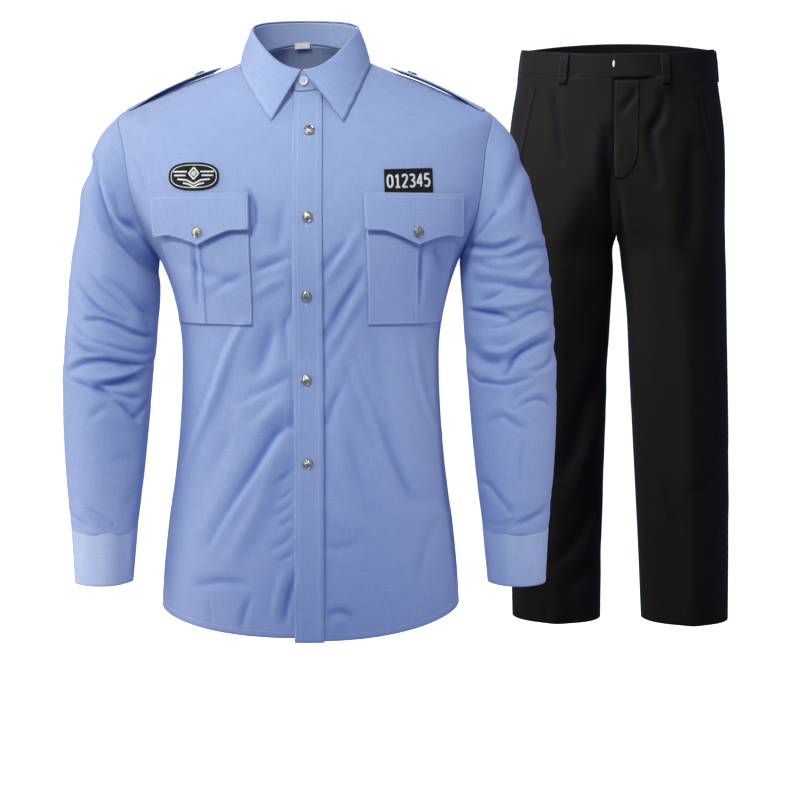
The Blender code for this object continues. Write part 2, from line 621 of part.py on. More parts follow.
class Sleeve:
    """A sleeve's outer surface, +X outwards, by share of its length and angle (0 is out)."""

    def __init__(self, name):
        self.name, self.side = name, (1 if name == "left" else -1)
        self.rings = np.array(SLEEVE_RINGS, float)
        self.rings[:, 0:3:2] += sleeve_shift(name, self.rings[:, 1:2]) * self.side
        outer = self.rings[:, :2]
        inner = self.rings[:, 2:4]
        middle = (outer + inner) / 2
        steps = np.linalg.norm(np.diff(middle, axis=0), axis=1)
        self.knots = np.concatenate([[0], np.cumsum(steps)]) / np.sum(steps)
        self.turns = np.radians(np.arange(0, 361, 10))
        self.seam = armhole_ring(self.turns, self.side)
        self.seam[:, 0] += 0.55

    def section(self, share, angle):
        ring = spline(share, self.knots, self.rings)
        outer_x, outer_z, inner_x, inner_z, depth, y = np.moveaxis(ring, -1, 0)
        cosine, sine = np.cos(angle), np.sin(angle)
        x = (outer_x + inner_x) / 2 + (outer_x - inner_x) / 2 * cosine
        z = (outer_z + inner_z) / 2 + (outer_z - inner_z) / 2 * cosine
        return np.stack([x, y - depth * sine, z], -1)

    def point(self, share, angle):
        """Sections morph out of the armhole's own line over the first quarter."""
        turn = np.mod(angle, 2 * np.pi)
        seam = np.stack([np.interp(turn, self.turns, self.seam[:, i]) for i in range(3)], -1)
        start = self.section(np.zeros(np.shape(share)), angle)
        fade = np.clip(1 - np.asarray(share) / 0.25, 0, 1) ** 2
        return self.section(share, angle) + (seam - start) * fade[..., None]

    def cloth(self, share, angle, out=0.0):
        point = self.point(share, angle)
        step = 1e-3
        down = self.point(share + step, angle) - self.point(share - step, angle)
        around = self.point(share, angle + 0.02) - self.point(share, angle - 0.02)
        normal = np.cross(around, down)
        normal /= np.linalg.norm(normal, axis=-1, keepdims=True)
        flip = np.array([self.side, 1, 1])
        facing = np.clip(-1.8 * normal[..., 1] + 0.2, 0, 1)
        edge = smooth(share / 0.06) * smooth((1 - share) / 0.03)
        lift = out + facing * edge * ridge(point * flip, SLEEVE_FOLDS[self.name])
        return (point + normal * lift[..., None]) * flip


def make_sleeve(name, side):
    arm = Sleeve(name)
    shares = np.concatenate([[0, 0.012, 0.035], np.linspace(0.07, 1, SLEEVE_STEPS - 3)])
    angles = np.radians(np.arange(SLEEVE_SIDES) * 360 / SLEEVE_SIDES)
    rows = [arm.cloth(np.full(SLEEVE_SIDES, s), angles) for s in shares[::-1]]
    rows = [row[::-1] if side > 0 else row for row in rows]
    sheet("sleeve_" + name, rows, SHIRT_BLUE, SHIRT_WALL, closed=True)


def cuff_point(height, angle):
    """The left cuff's outer face: height 0 at the hand, 1 at the sleeve."""
    ring = (np.array(CUFF_END)[:, None] + (np.array(CUFF_TOP) - CUFF_END)[:, None]
            * np.ravel(height)[None])
    outer, inner, z, depth, y = [value.reshape(np.shape(height)) for value in ring]
    x = (outer + inner) / 2 + (outer - inner) / 2 * np.cos(angle)
    return np.stack([x, y + depth * np.sin(angle), z + 0 * x], -1)


def make_cuff(name, side):
    """Barrel cuff, lapped and buttoned at the outer back."""
    lift = SHIRT_WALL + LAY
    start = 38.0
    end = start + 360 + CUFF_LAP
    grid = lapped(cuff_point, (0.0, 0.5, 1.0), start, end, start + CUFF_LAP + 4,
                  start + CUFF_LAP + 60, 24, lift)
    hang = np.array([sleeve_shift(name, CUFF_TOP[2]), 0, 0])
    grid = np.array(grid) * np.array([side, 1, 1]) + hang
    sheet("cuff_" + name, grid if side > 0 else grid[:, ::-1], CUFF_BLUE, SHIRT_WALL)
    at = np.radians(start + 14)
    facing = normals_of(cuff_point, np.array(0.5), at, du=0.02)
    place = cuff_point(np.array(0.5), at) + facing * (lift + 0.4)
    flip = np.array([side, 1, 1])
    disc("cuff_button_" + name, place * flip + hang, facing * flip, PLASTIC_BUTTON, 2.6,
         WHITE_PLASTIC)


def strap_rise(share):
    """How far the strap stands off the shoulder, from its sewn end to its point."""
    return smooth(share / 0.45) - 0.25 * smooth((share - 0.8) / 0.2)


def make_epaulette(name, side):
    """A strap on the shoulder ridge, pointed at the neck end, bowed up off the cloth."""
    def place(far, y, out):
        top = BODY.fine[BODY.fine > BODY.level(SHOULDER_TIP)]
        reach = spline(top, BODY.knots, BODY.rings)[:, 0]
        level = np.interp(-far, -reach, top)
        angle = side * BODY.angle_of_depth(level, y if abs(y) > 0.02 else -0.02)
        return BODY.point(level, angle) + normals_of(BODY.point, level, angle) * out
    rows = []
    for share in np.linspace(0, 1, 9):
        far = EPAULETTE_OUT + (EPAULETTE_IN - EPAULETTE_OUT) * share
        narrow = 1.0 if share < 0.86 else 0.45
        lift = LAY + SHIRT_WALL + 0.1 + EPAULETTE_LIFT * strap_rise(share)
        ys = np.linspace(-1, 1, 7) * EPAULETTE_HALF * narrow * (0.92 + 0.08 * (1 - share))
        rows.append([place(far, y, lift) for y in ys])
    grid = np.array(rows)
    sheet("epaulette_" + name, grid[:, ::-1] if side < 0 else grid, SHIRT_BLUE, SHIRT_WALL)
    far = EPAULETTE_IN + 26
    share = (EPAULETTE_OUT - far) / (EPAULETTE_OUT - EPAULETTE_IN)
    lift = LAY + SHIRT_WALL + 0.8 + EPAULETTE_LIFT * strap_rise(share)
    at = place(far, 0.0, lift)
    facing = place(far, 0.0, lift + 5) - at
    disc("epaulette_button_" + name, at, facing, METAL_BUTTON, BUTTON_THICK, SILVER_GOLD)


# ---------------------------------------------------------------- trousers
class Trousers:
    """One side of the trousers, in its own frame: front at -Y, middle of the body at x 0."""

    def __init__(self, name):
        self.side = -1 if name == "right" else 1
        legs = RIGHT_LEG_RINGS if name == "right" else LEFT_LEG_RINGS
        rings = list(HIP_RINGS) + [(z, z, z, *rest) for z, *rest in legs]
        self.rings = np.array(rings[::-1], float)
        self.knots = self.rings[:, 0]
        self.rings[:, 3:5] *= LEFT_NARROW if name == "left" else 1.0
        self.crease = np.radians(CREASE_AT[name]) * (1 if name == "left" else -1)

    def point(self, height, angle):
        """Angle 0 is the front of the leg, 90 its outer side, -90 its inner side."""
        ring = spline(height, self.knots, self.rings)
        side_z, front_z, back_z, middle, wide, front, back = np.moveaxis(ring, -1, 0)
        sine, cosine = np.sin(angle), np.cos(angle)
        ahead = cosine > 0
        x = middle + wide * power(sine, 2 / TROUSER_SQUARE)
        y = np.where(ahead, -front, back) * np.abs(cosine) ** (2 / TROUSER_SQUARE)
        z = side_z + (np.where(ahead, front_z, back_z) - side_z) * np.abs(cosine) ** RISE
        pressed = CREASE * smooth((-40 - np.asarray(height)) / 120)
        off = np.angle(np.exp(1j * (np.asarray(angle) - self.crease)))
        behind = np.angle(np.exp(1j * (np.asarray(angle) - np.pi)))
        wave = np.radians(CREASE_WIDTH)
        y = y - pressed * np.exp(-(off / wave) ** 2) + pressed * np.exp(-(behind / wave) ** 2)
        z = z - self.side * x * WAIST_ROLL * smooth((z + 100) / 90)
        return np.stack([x, y, z], -1)

    def cloth(self, height, angle, out=0.0):
        """World point, with the pleat at the front, moved out by some millimetres."""
        point = self.point(height, angle)
        normal = normals_of(self.point, height, angle)
        near = point[..., 0] - PLEAT_AT - 4 * smooth((10 - point[..., 2]) / 140)
        tuck = np.where(near > 0, np.exp(-(near / 5.0) ** 2), np.exp(-(near / 22.0) ** 2))
        fade = (np.clip(1 - (18 - point[..., 2]) / PLEAT_LONG, 0, 1)
                * (point[..., 2] < 17) * (point[..., 1] < -60))
        moved = point + normal * (out + PLEAT_HIGH * tuck * fade)[..., None]
        return to_world(moved * np.array([self.side, 1, 1]))

    def inner_angle(self, height, back=False):
        """Angle where this side meets the other at the middle, or its inner side."""
        ring = spline(height, self.knots, self.rings)
        share = min(1.0, (ring[3] - SEAM / 2) / ring[4])
        turn = np.arcsin(power(share, TROUSER_SQUARE / 2))
        return np.pi + turn if back else -turn


def to_world(points):
    """From the trousers' own frame to their place behind the shirt."""
    turn = np.radians(TROUSERS_TURN)
    x, y, z = np.moveaxis(np.asarray(points), -1, 0)
    return np.stack([TROUSERS_AT[0] + x * np.cos(turn) - y * np.sin(turn),
                     TROUSERS_AT[1] + x * np.sin(turn) + y * np.cos(turn), z], -1)


def make_leg(name):
    half = Trousers(name)
    gap = 0.004
    for part, count in (("front", 12), ("back", 10)):
        rows = []
        for height in (half.knots[0], *TROUSER_LEVELS[::-1]):
            inner = half.inner_angle(height, back=part == "back")
            if inner <= -np.pi / 2 + 1e-6 or inner >= 1.5 * np.pi - 1e-6:
                inner += gap if part == "front" else -gap
            if part == "front":
                angles = np.linspace(inner, np.pi / 2 - gap, count)
            else:
                angles = np.linspace(np.pi / 2 + gap, inner, count)
            row = half.cloth(np.full(count, float(height)), angles)
            rows.append(row if half.side > 0 else row[::-1])
        sheet(f"trouser_{part}_{name}", rows, TROUSER_BLACK, TROUSER_WALL)
    return half


def waist_point(height, angle):
    """The waistband's outer face in the trousers' frame: 0 at its seam, 1 at the top."""
    ring = spline(float(HIP_RINGS[0][0]), RIGHT_SIDE.knots, RIGHT_SIDE.rings)
    side_z, front_z, back_z, _, wide, front, back = ring
    sine, cosine = np.sin(angle), np.cos(angle)
    ahead = cosine > 0
    height = np.asarray(height, float)
    lean = -4.0 * height
    x = (wide + lean) * power(sine, 2 / TROUSER_SQUARE)
    y = (np.where(ahead, -(front + lean), back + lean)
         * np.abs(cosine) ** (2 / TROUSER_SQUARE))
    z = side_z + (np.where(ahead, front_z, back_z) - side_z) * np.abs(cosine) ** RISE
    x = np.where(x > 0, x * LEFT_NARROW, x)
    return np.stack([x, y, z + SEAM + height * WAISTBAND_HIGH - x * WAIST_ROLL], -1)


def make_waist():
    lift = TROUSER_WALL + LAY
    grid = lapped(waist_point, (0.0, 0.5, 1.0), -361.0, 14.0, -345, -335, 36, lift)
    sheet("waistband", to_world(grid), TROUSER_BLACK, TROUSER_WALL)
    for name, degrees in LOOP_ANGLES.items():
        make_loop(name, np.radians(degrees))
    at = np.radians(-0.2)
    facing = normals_of(waist_point, 0.5, at, du=0.02)
    rows = []
    for height in (0.34, 0.72):
        line = [waist_point(height, at + np.radians(step)) + facing * (lift + LAY + 1.0)
                for step in (-1.2, 1.2)]
        rows.append(line)
    sheet("waist_hook", to_world(rows), SILVER, 1.0)


def belt_point(height, angle, out):
    """World point on the waistband's face, or on the trousers' own below its seam."""
    if height < 0:
        half = LEFT_SIDE if angle > 0 else RIGHT_SIDE
        down = HIP_RINGS[0][0] + height * WAISTBAND_HIGH
        return half.cloth(np.array(down), np.array(abs(angle)), out)
    normal = normals_of(waist_point, height, angle, du=0.02)
    return to_world(waist_point(height, angle) + normal * out)


def make_loop(name, angle):
    """A belt loop: a strap over the waistband, close at both ends, standing off between."""
    wide = LOOP_WIDE / 2 / 113
    rows = []
    base = LAY + TROUSER_WALL
    for height, stand in ((-0.44, 0.2), (-0.3, 0.4), (0.02, LOOP_STAND), (0.35, LOOP_STAND + 1),
                          (0.68, LOOP_STAND), (0.86, 0.5), (0.97, 0.2)):
        rows.append([belt_point(height, turn, base + stand)
                     for turn in (angle - wide, angle, angle + wide)])
    sheet("belt_loop_" + name, rows, TROUSER_BLACK, TROUSER_WALL)


def trouser_angle(half, x, height):
    """Angle on the front where this side is x from the middle."""
    ring = spline(float(height), half.knots, half.rings)
    share = np.clip((x - ring[3]) / ring[4], -1, 1)
    return float(np.arcsin(power(share, TROUSER_SQUARE / 2)))


def make_fly(half):
    """The fly facing on the left front, rounded at its foot."""
    rows = []
    for t in np.linspace(0, 1, 9):
        height = FLY_END + (26.0 - FLY_END) * t
        wide = FLY_WIDE * (1 - (1 - min(1.0, t / 0.3)) ** 2) ** 0.5 * 0.96 + FLY_WIDE * 0.1
        line = [half.cloth(np.array(height), np.array(trouser_angle(half, x, height)),
                           LAY + 0.45 + TROUSER_WALL)
                for x in np.linspace(2.0, wide, 4)]
        rows.append(line)
    sheet("fly_facing", rows, TROUSER_BLACK, TROUSER_WALL)


def make_slant(name, half):
    """The edge of a slanted side pocket."""
    rows = []
    (near, high), (far, low) = POCKET_SLANT
    for t in np.linspace(0, 1, 8):
        height = low + (high - low) * t
        middle = far + (near - far) * t
        line = []
        for x in (middle - 9.0, middle - 3.0):
            angle = trouser_angle(half, x, height)
            line.append(half.cloth(np.array(height), np.array(angle), LAY + TROUSER_WALL))
        rows.append(line if half.side > 0 else line[::-1])
    sheet("side_pocket_" + name, rows, TROUSER_BLACK, TROUSER_WALL)


# ---------------------------------------------------------------- build
for old in list(bpy.data.objects):
    bpy.data.objects.remove(old, do_unlink=True)
MODEL = new_collection("uniform_set")
BODY = Skin(BODY_RINGS)
RIGHT_SIDE = Trousers("right")

make_body()
make_placket()
make_front_buttons()
for side_name, way in (("right", -1), ("left", 1)):
    make_pocket(side_name, way)
    make_sleeve(side_name, way)
    make_cuff(side_name, way)
    make_epaulette(side_name, way)
make_patch("badge_patch", BADGE_AT, BADGE_SIZE, 2.6)
make_patch("number_patch", TAB_AT, TAB_SIZE, 14.0, TAB_TILT)
make_collar()
make_leg("right")
LEFT_SIDE = make_leg("left")
make_waist()
make_fly(LEFT_SIDE)
make_slant("right", RIGHT_SIDE)
make_slant("left", LEFT_SIDE)
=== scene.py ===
"""Looks of the uniform set: a light-blue guard-style shirt before black pleated trousers.

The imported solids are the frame.  Every cloth piece is woven again over its solid as a thin
shell on the same surface, with the finer creases, edges and stitches added.  Sizes are in
mm, in the frame of the solids: +X to the viewer's right, -Y towards the viewer, +Z up.
"""

import bmesh
import bpy
import numpy as np
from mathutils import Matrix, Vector


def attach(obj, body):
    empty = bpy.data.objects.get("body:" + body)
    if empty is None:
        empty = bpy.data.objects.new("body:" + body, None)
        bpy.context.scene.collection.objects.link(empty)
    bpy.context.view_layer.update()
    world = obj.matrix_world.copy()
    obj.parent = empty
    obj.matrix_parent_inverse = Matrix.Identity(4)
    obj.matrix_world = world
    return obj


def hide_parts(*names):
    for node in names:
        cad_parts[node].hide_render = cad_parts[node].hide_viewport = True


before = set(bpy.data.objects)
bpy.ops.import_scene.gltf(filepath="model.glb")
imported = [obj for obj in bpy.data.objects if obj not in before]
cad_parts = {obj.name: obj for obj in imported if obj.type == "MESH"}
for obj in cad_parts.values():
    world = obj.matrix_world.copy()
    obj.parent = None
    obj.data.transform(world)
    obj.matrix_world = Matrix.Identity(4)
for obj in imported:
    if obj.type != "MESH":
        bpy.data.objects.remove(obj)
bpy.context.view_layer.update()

MM = 0.001
COARSE = 1.0

# ---------------------------------------------------------------- the camera
PICTURE = 800                       # the picture's width and height in pixels
FOCAL = 1714.82                     # the lens, in the picture's pixels
SENSOR = 36.0
CAMERA_AT = (117.0, -2200.0, -199.0)
CAMERA_DOWN = 6.0                   # degrees below the horizon

# ---------------------------------------------------------------- driving sizes, in mm
SHIRT_WALL = 1.2          # solid wall that stands for the shirt cloth
TROUSER_WALL = 1.5
SEAM = 0.6                # gap left between two pieces at a seam
LAY = 0.65                # gap under a piece that lies on another
FACE = LAY + SHIRT_WALL   # how far the face of the first piece on the shirt stands
RISE = 1.5                # how fast a ring climbs from its side to its front or back

# The shirt hangs a little askew: height, and how far it sits to the viewer's right there.
LEAN = ((-692, 1.0), (-560, 1.6), (-400, 2.6), (-290, 3.2), (-130, -0.5), (-70, -1.5),
        (0, -1.8), (40, -2.6))

# Rings of the shirt body, hem to neck seam: half width and height at the side, depth and
# height at the front, depth and height at the back, squareness (2 is an ellipse).
BODY_RINGS = (
    (193.0, -692, 118, -715, 118, -738, 2.3),     # hem, a shirt-tail curve
    (190.0, -648, 117, -656, 117, -664, 2.3),
    (183.0, -584, 114, -588, 114, -590, 2.3),
    (174.0, -521, 110, -522, 109, -523, 2.35),
    (168.0, -459, 107, -459, 104, -459, 2.4),
    (164.5, -397, 106, -397, 101, -397, 2.4),     # waist
    (165.0, -350, 109, -350, 103, -350, 2.4),
    (172.0, -304, 117, -304, 110, -304, 2.4),
    (180.5, -273, 123, -275, 116, -272, 2.4),
    (190.6, -248, 127, -253, 120, -246, 2.4),     # armpit
    (208.0, -220, 129, -229, 122, -216, 2.4),
    (226.0, -188, 129, -202, 123, -180, 2.4),
    (238.0, -146, 126, -168, 122, -134, 2.4),
    (242.0, -108, 120, -139, 117, -92, 2.3),
    (235.0, -66, 111, -108, 107, -49, 2.15),      # shoulder tip
    (222.0, -59, 109, -101, 104, -41, 2.1),
    (190.0, -46, 104, -89, 97, -26, 2.1),
    (150.0, -28, 98, -75, 87, -9, 2.0),
    (105.0, -11.5, 90, -59, 74, 10, 2.0),
    (66.0, 4, 82, -44, 62, 26, 2.0),              # neck seam
)
SHOULDER_TIP, NECK = -66.0, 4.0                   # side heights of those two rings
ARMHOLE_MIDDLE, ARMHOLE_HALF, ARMHOLE_DEPTH = -157.2, 90.8, 62.0
YOKE_BACK = -108.0                                # side height of the yoke's back seam
SHOULDER_SEAM_AT_NECK = 74.0                      # degrees from the centre front
PANEL_LEVELS = (-692, -640, -588, -536, -484, -436, -394, -352, -318, -290, -266, -248.3,
                -246, -240, -230, -215, -196, -170, -140, -112, -88, -75, -69, -66.3,
                -60, -48, -33, -16, 4)
CLOSE, DROP_OVER = 4, 30                          # to a seam; from the hem up
FRONT_ROUND, BACK_ROUND, YOKE_ROUND = 200, 400, 440    # lengths round, for the grids
CALM_FROM, CALM_OVER, CALM_ROUND = 135, 30, 0.2   # no creases at the sleeves' seams

PLACKET_LEFT, PLACKET_RIGHT = -13.5, 23.5         # its edges, seen from the front
PLACKET_DROP, LEFT_DROP = 4.0, 3.0                # it and the left front hang lower
FRONT_LINE = 4.5                                  # line that the pockets are set out from
PLACKET_TUCK = 2.4                                # its top stays below the neck seam
PLACKET_COLUMNS, FLAP_COLUMNS, FLAP_ROWS = 19, 64, 20.8
UNDERLAP = 18.0                                   # where the two fronts meet below it
METAL_BUTTON, PLASTIC_BUTTON, BUTTON_GAP = 13.5, 11.5, 0.4
FRONT_BUTTONS = ((7.0, -92.3), (5.7, -195.7), (3.4, -290.4), (2.2, -394.2), (3.3, -497.5))

POCKET_INNER, POCKET_WIDTH = 70.5, 125.0          # measured round the chest
POCKET_MIDDLE = POCKET_INNER + POCKET_WIDTH / 2
POCKET_LIFT = 0.35                                # how far it stands off the gap
POCKET_TOP, POCKET_BOTTOM = -174.0, -327.0
FLAP_TOP, FLAP_OVER = -167.0, 1.5                 # the flap is a little wider
FLAP_DROPS = ((-1.0, 44), (-0.62, 44.5), (-0.3, 52), (0.0, 61), (0.3, 53.5),
              (0.62, 48.5), (1.0, 51))            # inner corner, point, outer corner
FLAP_DEEP, FLAP_CURVE = 61.0, 1.3                 # how its front stands off
FLAP_BUTTON_DROP, FLAP_HOLE_DROP = 46.0, 34.0     # below the flap's top
PLEAT_STEP, PLEAT_FADE = 0.9, 9.0
PLEAT_EDGE = 1.6 * PLEAT_STEP
PLEAT_COLUMNS = (-1.0, -0.3, 0.4, 2.0)            # grid columns about the pleat's edge
BUTTON_ON_FLAP = 0.6                              # share of the flap's stand there
PATCH_COLUMNS, BADGE_SQUARE, TAB_SQUARE = 41, 2.6, 14.0
BADGE_AT, BADGE_SIZE = (-132.0, -147.0), (62.0, 33.0)
TAB_AT, TAB_SIZE, TAB_TILT = (127.0, -152.3), (58.0, 29.0), 2.0

# Fold line of the collar, and how far the leaf laps below the neck seam at an angle.
FOLD_SIDE, FOLD_FRONT, FOLD_BACK = (66.0, 36.0), (80.0, -18.5), (57.0, 55.0)
FOLD_RISE_FRONT, FOLD_RISE_BACK = 2.0, 0.6
LEAF_EDGE = ((43.0, -81.0), (52.0, -64.5), (61.0, -48.0), (70.0, -31.5), (76.0, -20.0))
LEAF_KNOTS = (0, 0.09, 0.18, 0.27, 0.34, 0.5, 0.72, 1)   # shares of half the leaf
LEAF_OUT = 3.4                                    # its edge off the shirt
LEAF_SHIFT = 6.0                                  # the points lean to the viewer's right
LEAF_LAPS = ((90, 14), (130, 15), (180, 16))
STAND_WALL, LEAF_WALL = 1.4, 1.4
STAND_LIFT = STAND_WALL + LAY
STAND_ROWS, LABEL_ROWS = (0.02, 0.985, 14), (-0.14, 0.12, 10)    # from, to, how many
STAND_LAP = (-369.5, 13, -346, -300)              # degrees: its ends, where it lies on it
ROLL_UP, ROLL_IN, ROLL_CROWN = (1.1, 1.2), 1.2, 0.8    # the roll over the fold line
LAP_FROM, LAP_OVER = 14, 46                       # degrees from the front
LEAF_BULGE, SHIFT_OVER = 1.5, 60
COLLAR_BUTTON_AT = 1.2                            # degrees
LABEL_AT, LABEL_WIDE = -8.0, 20.0

# Sleeve, from armhole to cuff seam: outer point, inner point, half depth, middle y.
SLEEVE_RINGS = (
    (235.3, -66.8, 190.9, -247.6, 62, 0),
    (257.5, -91.0, 191.2, -251.0, 66, -1),
    (271.5, -122.0, 191.8, -255.5, 69, -3),
    (285.5, -166.5, 193.0, -265.0, 71, -5),
    (298.5, -216.0, 194.5, -284.0, 70, -7),
    (306.5, -260.0, 196.5, -310.0, 68, -9),
    (311.0, -310.0, 199.0, -345.0, 65, -12),
    (315.0, -372.0, 202.5, -392.0, 62, -16),
    (316.0, -440.0, 206.5, -448.0, 58, -21),
    (312.5, -522.0, 214.0, -524.0, 52, -27),
    (306.5, -588.0, 222.5, -590.0, 45, -31),
)
SLEEVE_SHIFT = {                                  # height, and how far it hangs to +X
    "right": ((-66, 0), (-100, -2), (-150, 0), (-230, 5), (-310, 5.5), (-380, 3.5), (-590, 3)),
    "left": ((-66, 0), (-260, 0.5)),
}
CUFF_TOP = (306.5, 222.0, -590.6, 44.0, -31.0)    # outer x, inner x, z, half depth, y
CUFF_END = (303.5, 229.0, -660.0, 40.0, -31.0)
CUFF_START, CUFF_LAP = 38.0, 36.0                 # degrees: its end and its overlap
CUFF_EASE, CUFF_BUTTON_AT, BULGE_OVER = (4, 56), 14, 20
SLEEVE_ROUND, SLEEVE_LONG = 430, 560              # lengths, for the grid
CAP_SHARE, CAP_ROWS = 0.08, 18                    # the finer rows at the armhole
SLEEVE_CLEAR, SLEEVE_CALM, MORPH_OVER, TURNED_IN = 0.55, (0.06, 0.03), 0.25, 0.03
EPAULETTE_OUT, EPAULETTE_IN = 226.0, 106.0        # distance of its ends from the middle
EPAULETTE_HALF, EPAULETTE_LIFT = 23.0, 3.5
STRAP_BUTTON_IN = 26.0                            # from the inner end to its button
STRAP_GAP, STRAP_RISES, STRAP_DIP, STRAP_DIPS = 0.1, 0.45, 0.25, 0.8
STRAP_WIDTHS, STRAP_TAPER = ((0, 1), (0.86, 1), (1, 0.12)), 0.08

# Trousers: place, turn to the viewer, rings of one leg.  Heights at side, front, back,
# middle of the leg, half width, front depth, back depth.
TROUSERS_AT, TROUSERS_TURN = (463.0, 560.0), -10.0
LEFT_NARROW, WAIST_ROLL = 0.978, 0.014            # the left side is narrower and lower
HIP_RINGS = (
    (33.5, 18, 55, 0, 157.5, 113, 122),           # waistband seam
    (8, -3, 24, 0, 161, 114, 127),
    (-22, -29, -12, 4, 162, 115, 132),
    (-60, -63, -55, 15, 156, 116, 137),
    (-110, -111, -108, 38, 135.5, 114, 138),
    (-165, -165, -165, 61, 113.5, 109, 134),
    (-205, -205, -205, 77, 98, 104, 129),
    (-228, -228, -228, 86.5, 89.5, 100, 123),
    (-238, -238, -238, 89.5, 86.8, 98, 120),      # crotch
)
LEG_RINGS = {
    "left": ((-280, 94.5, 84, 92, 108), (-330, 98.7, 81.5, 85, 96),
             (-427, 103.7, 80, 76, 82), (-525, 108.5, 78.6, 71, 74),
             (-623, 112.8, 76.4, 69, 70), (-722, 117, 74.3, 67, 68),
             (-841, 121, 71.7, 65, 66)),
    "right": ((-280, 90, 85.5, 92, 108), (-330, 90.6, 84, 85, 96),
              (-427, 91.8, 80.6, 76, 82), (-525, 91.8, 78.6, 71, 74),
              (-623, 91.5, 76.4, 69, 70), (-722, 91.4, 74, 67, 68),
              (-846, 89.7, 72.4, 65, 66)),
}
TROUSER_LEVELS = (33.2, 10, -16, -48, -85, -125, -165, -200, -220, -232, -238, -250,
                  -285, -345, -430, -525, -630, -735)    # and the hem
TROUSER_SQUARE = 2.1
CREASE, CREASE_WIDTH = 6.0, 13.0                  # pressed crease: height, degrees wide
CREASE_TOP, CREASE_OVER = -40, 120                # it starts there and comes up over that
ROLL_LOW, ROLL_OVER, SIDE_GAP = -100, 90, 0.0008
LEG_ROUND = {"front": 250, "back": 270}           # lengths round, for the grids
CREASE_AT = {"right": 4.0, "left": 12.0}          # degrees from the front of the leg
PLEAT_AT, PLEAT_HIGH, PLEAT_LONG = 78.0, 3.2, 130.0
PLEAT_TOP, PLEAT_FRONT, PLEAT_LEAN, PLEAT_SLOPES = 18, -60, 4, (5.0, 22.0)
WAISTBAND_HIGH = 34.0
WAIST_DEEP, WAIST_CALM = 113.0, 24                # in front, at its seam; no folds over it
WAIST_LIFT, BAND_LEAN = TROUSER_WALL + LAY + 0.6, 4.0
WAIST_LAP = (-361.0, 14.0, -345, -335)            # degrees, as the collar stand's
HOOK_AT, HOOK_HEIGHTS, HOOK_HALF, HOOK_WAIST = -0.2, (0.38, 0.66), 0.65, 0.35
HOOK_LIFT, HOOK_CROWN = TROUSER_WALL + 2 * LAY + 1.0, 0.5
LOOP_WIDE, LOOP_STAND, LOOP_FLAT, LOOP_CROWN = 11.0, 2.4, 0.3, 0.25
LOOP_KNOTS = (-0.44, -0.3, 0.02, 0.35, 0.68, 0.86, 0.97)   # shares of the band
LOOP_ANGLES = {"front_right": -28.5, "front_left": 28.5, "side_right": -96.0,
               "side_left": 96.0, "back": 180.0}
FLY_WIDE, FLY_TOP, FLY_END, FLY_INNER = 36.0, 26.0, -138.0, 2.0
FLY_CURVE, FLY_FOOT, FLY_SWELL = 0.3, 0.1, 0.96   # shares of its height and width
POCKET_SLANT = ((131.0, 12.0), (160.0, -135.0))   # distance from the middle, height
SLANT_EDGE = (-9, -3)                             # across the edge's turning

# The largest folds, as ridges seen from the front: points (x, z), half width, height.
BODY_FOLDS = (
    (((-24, -460), (-62, -515), (-95, -552), (-118, -600)), 13, 3.0),
    (((-30, -380), (-70, -432), (-104, -470)), 14, 2.0),
    (((88, -470), (110, -528), (132, -575)), 15, 2.4),
    (((150, -262), (140, -300), (150, -345)), 12, 1.8),
)
SLEEVE_FOLDS = {
    "right": (
        (((-270, -140), (-262, -172), (-246, -205), (-222, -232), (-203, -246)), 10, 4.5),
        (((-292, -282), (-268, -308), (-240, -322)), 9, 4.0),
        (((-300, -338), (-262, -352), (-212, -362)), 9, 3.6),
        (((-262, -430), (-235, -448), (-222, -455)), 9, 3.0),
        (((-300, -575), (-282, -566), (-262, -580)), 9, 2.2),
    ),
    "left": (
        (((212, -232), (232, -205), (252, -178), (262, -150)), 10, 4.0),
        (((215, -262), (255, -245), (292, -232)), 9, 4.0),
        (((214, -300), (255, -296), (302, -282)), 9, 4.0),
        (((216, -345), (260, -338), (306, -330)), 9, 4.0),
        (((222, -392), (262, -384), (308, -380)), 9, 3.2),
        (((236, -560), (268, -548), (300, -552)), 9, 2.2),
    ),
}

# ---------------------------------------------------------------- finer sizes of the looks
CLOTH, HEAVY_CLOTH = 0.8, 1.0       # thickness of the shirt's and the trousers' cloth
FIRM_CLOTH = 1.2                    # collar, cuffs, straps, loops and patches
SHOULDER_GAP, FRONT_GAP = 0.004, 0.003          # in radians
STEP_FRONT, STEP_BACK, STEP_TROUSERS = 2.75 * COARSE, 4.6 * COARSE, 4.8 * COARSE
THREAD, STITCH, STITCH_GAP = 0.7, 2.1, 1.3      # thickness, length and gap of a stitch
EDGE_STITCH = 2.2                   # how far the stitches keep from a cloth's edge
PLACKET_STITCH, HEM_STITCH, SEAM_STITCH, WIDE_STITCH = 7.0, 7.5, 2.0, 5.5
CUFF_TURNING = (0.0, 0.0, -5.0)      # how far a sleeve's ends turn in under the next piece
ARMHOLE_TURNING = (-2.4, 0.0, 0.0)
STRAP_FLAT = 0.8                    # share of the shoulder's curve a strap doesn't follow
FLY_SINK = 0.75                     # how far the fly's outer edge sinks in
SEAT_OVERLAP = 0.05                 # how far each back crosses the seat seam
FLAP_STAND = 5.0                    # how far a flap's lower edge stands off the pocket
HOLE_LONG, HOLE_TOP = 15.0, 3.5     # a buttonhole, and its top over the button's middle
HOLLOW_REACH, HOLLOW_DEPTH = 6, 2.5  # in grid steps, and the mm that count as deep
SHOULDER_DEEP, SHOULDER_WIDE = 0.38, 2.1         # the raised shoulders of a crease
CREASE_END, CREASE_BLUNT, FOLD_END = 0.05, 0.55, 0.08    # how their ends taper
BODY_REACH, SLEEVE_REACH = 0.3, 0.45             # where the front goes over to the back
FLAT_FROM = 0.3                                  # share along the strap

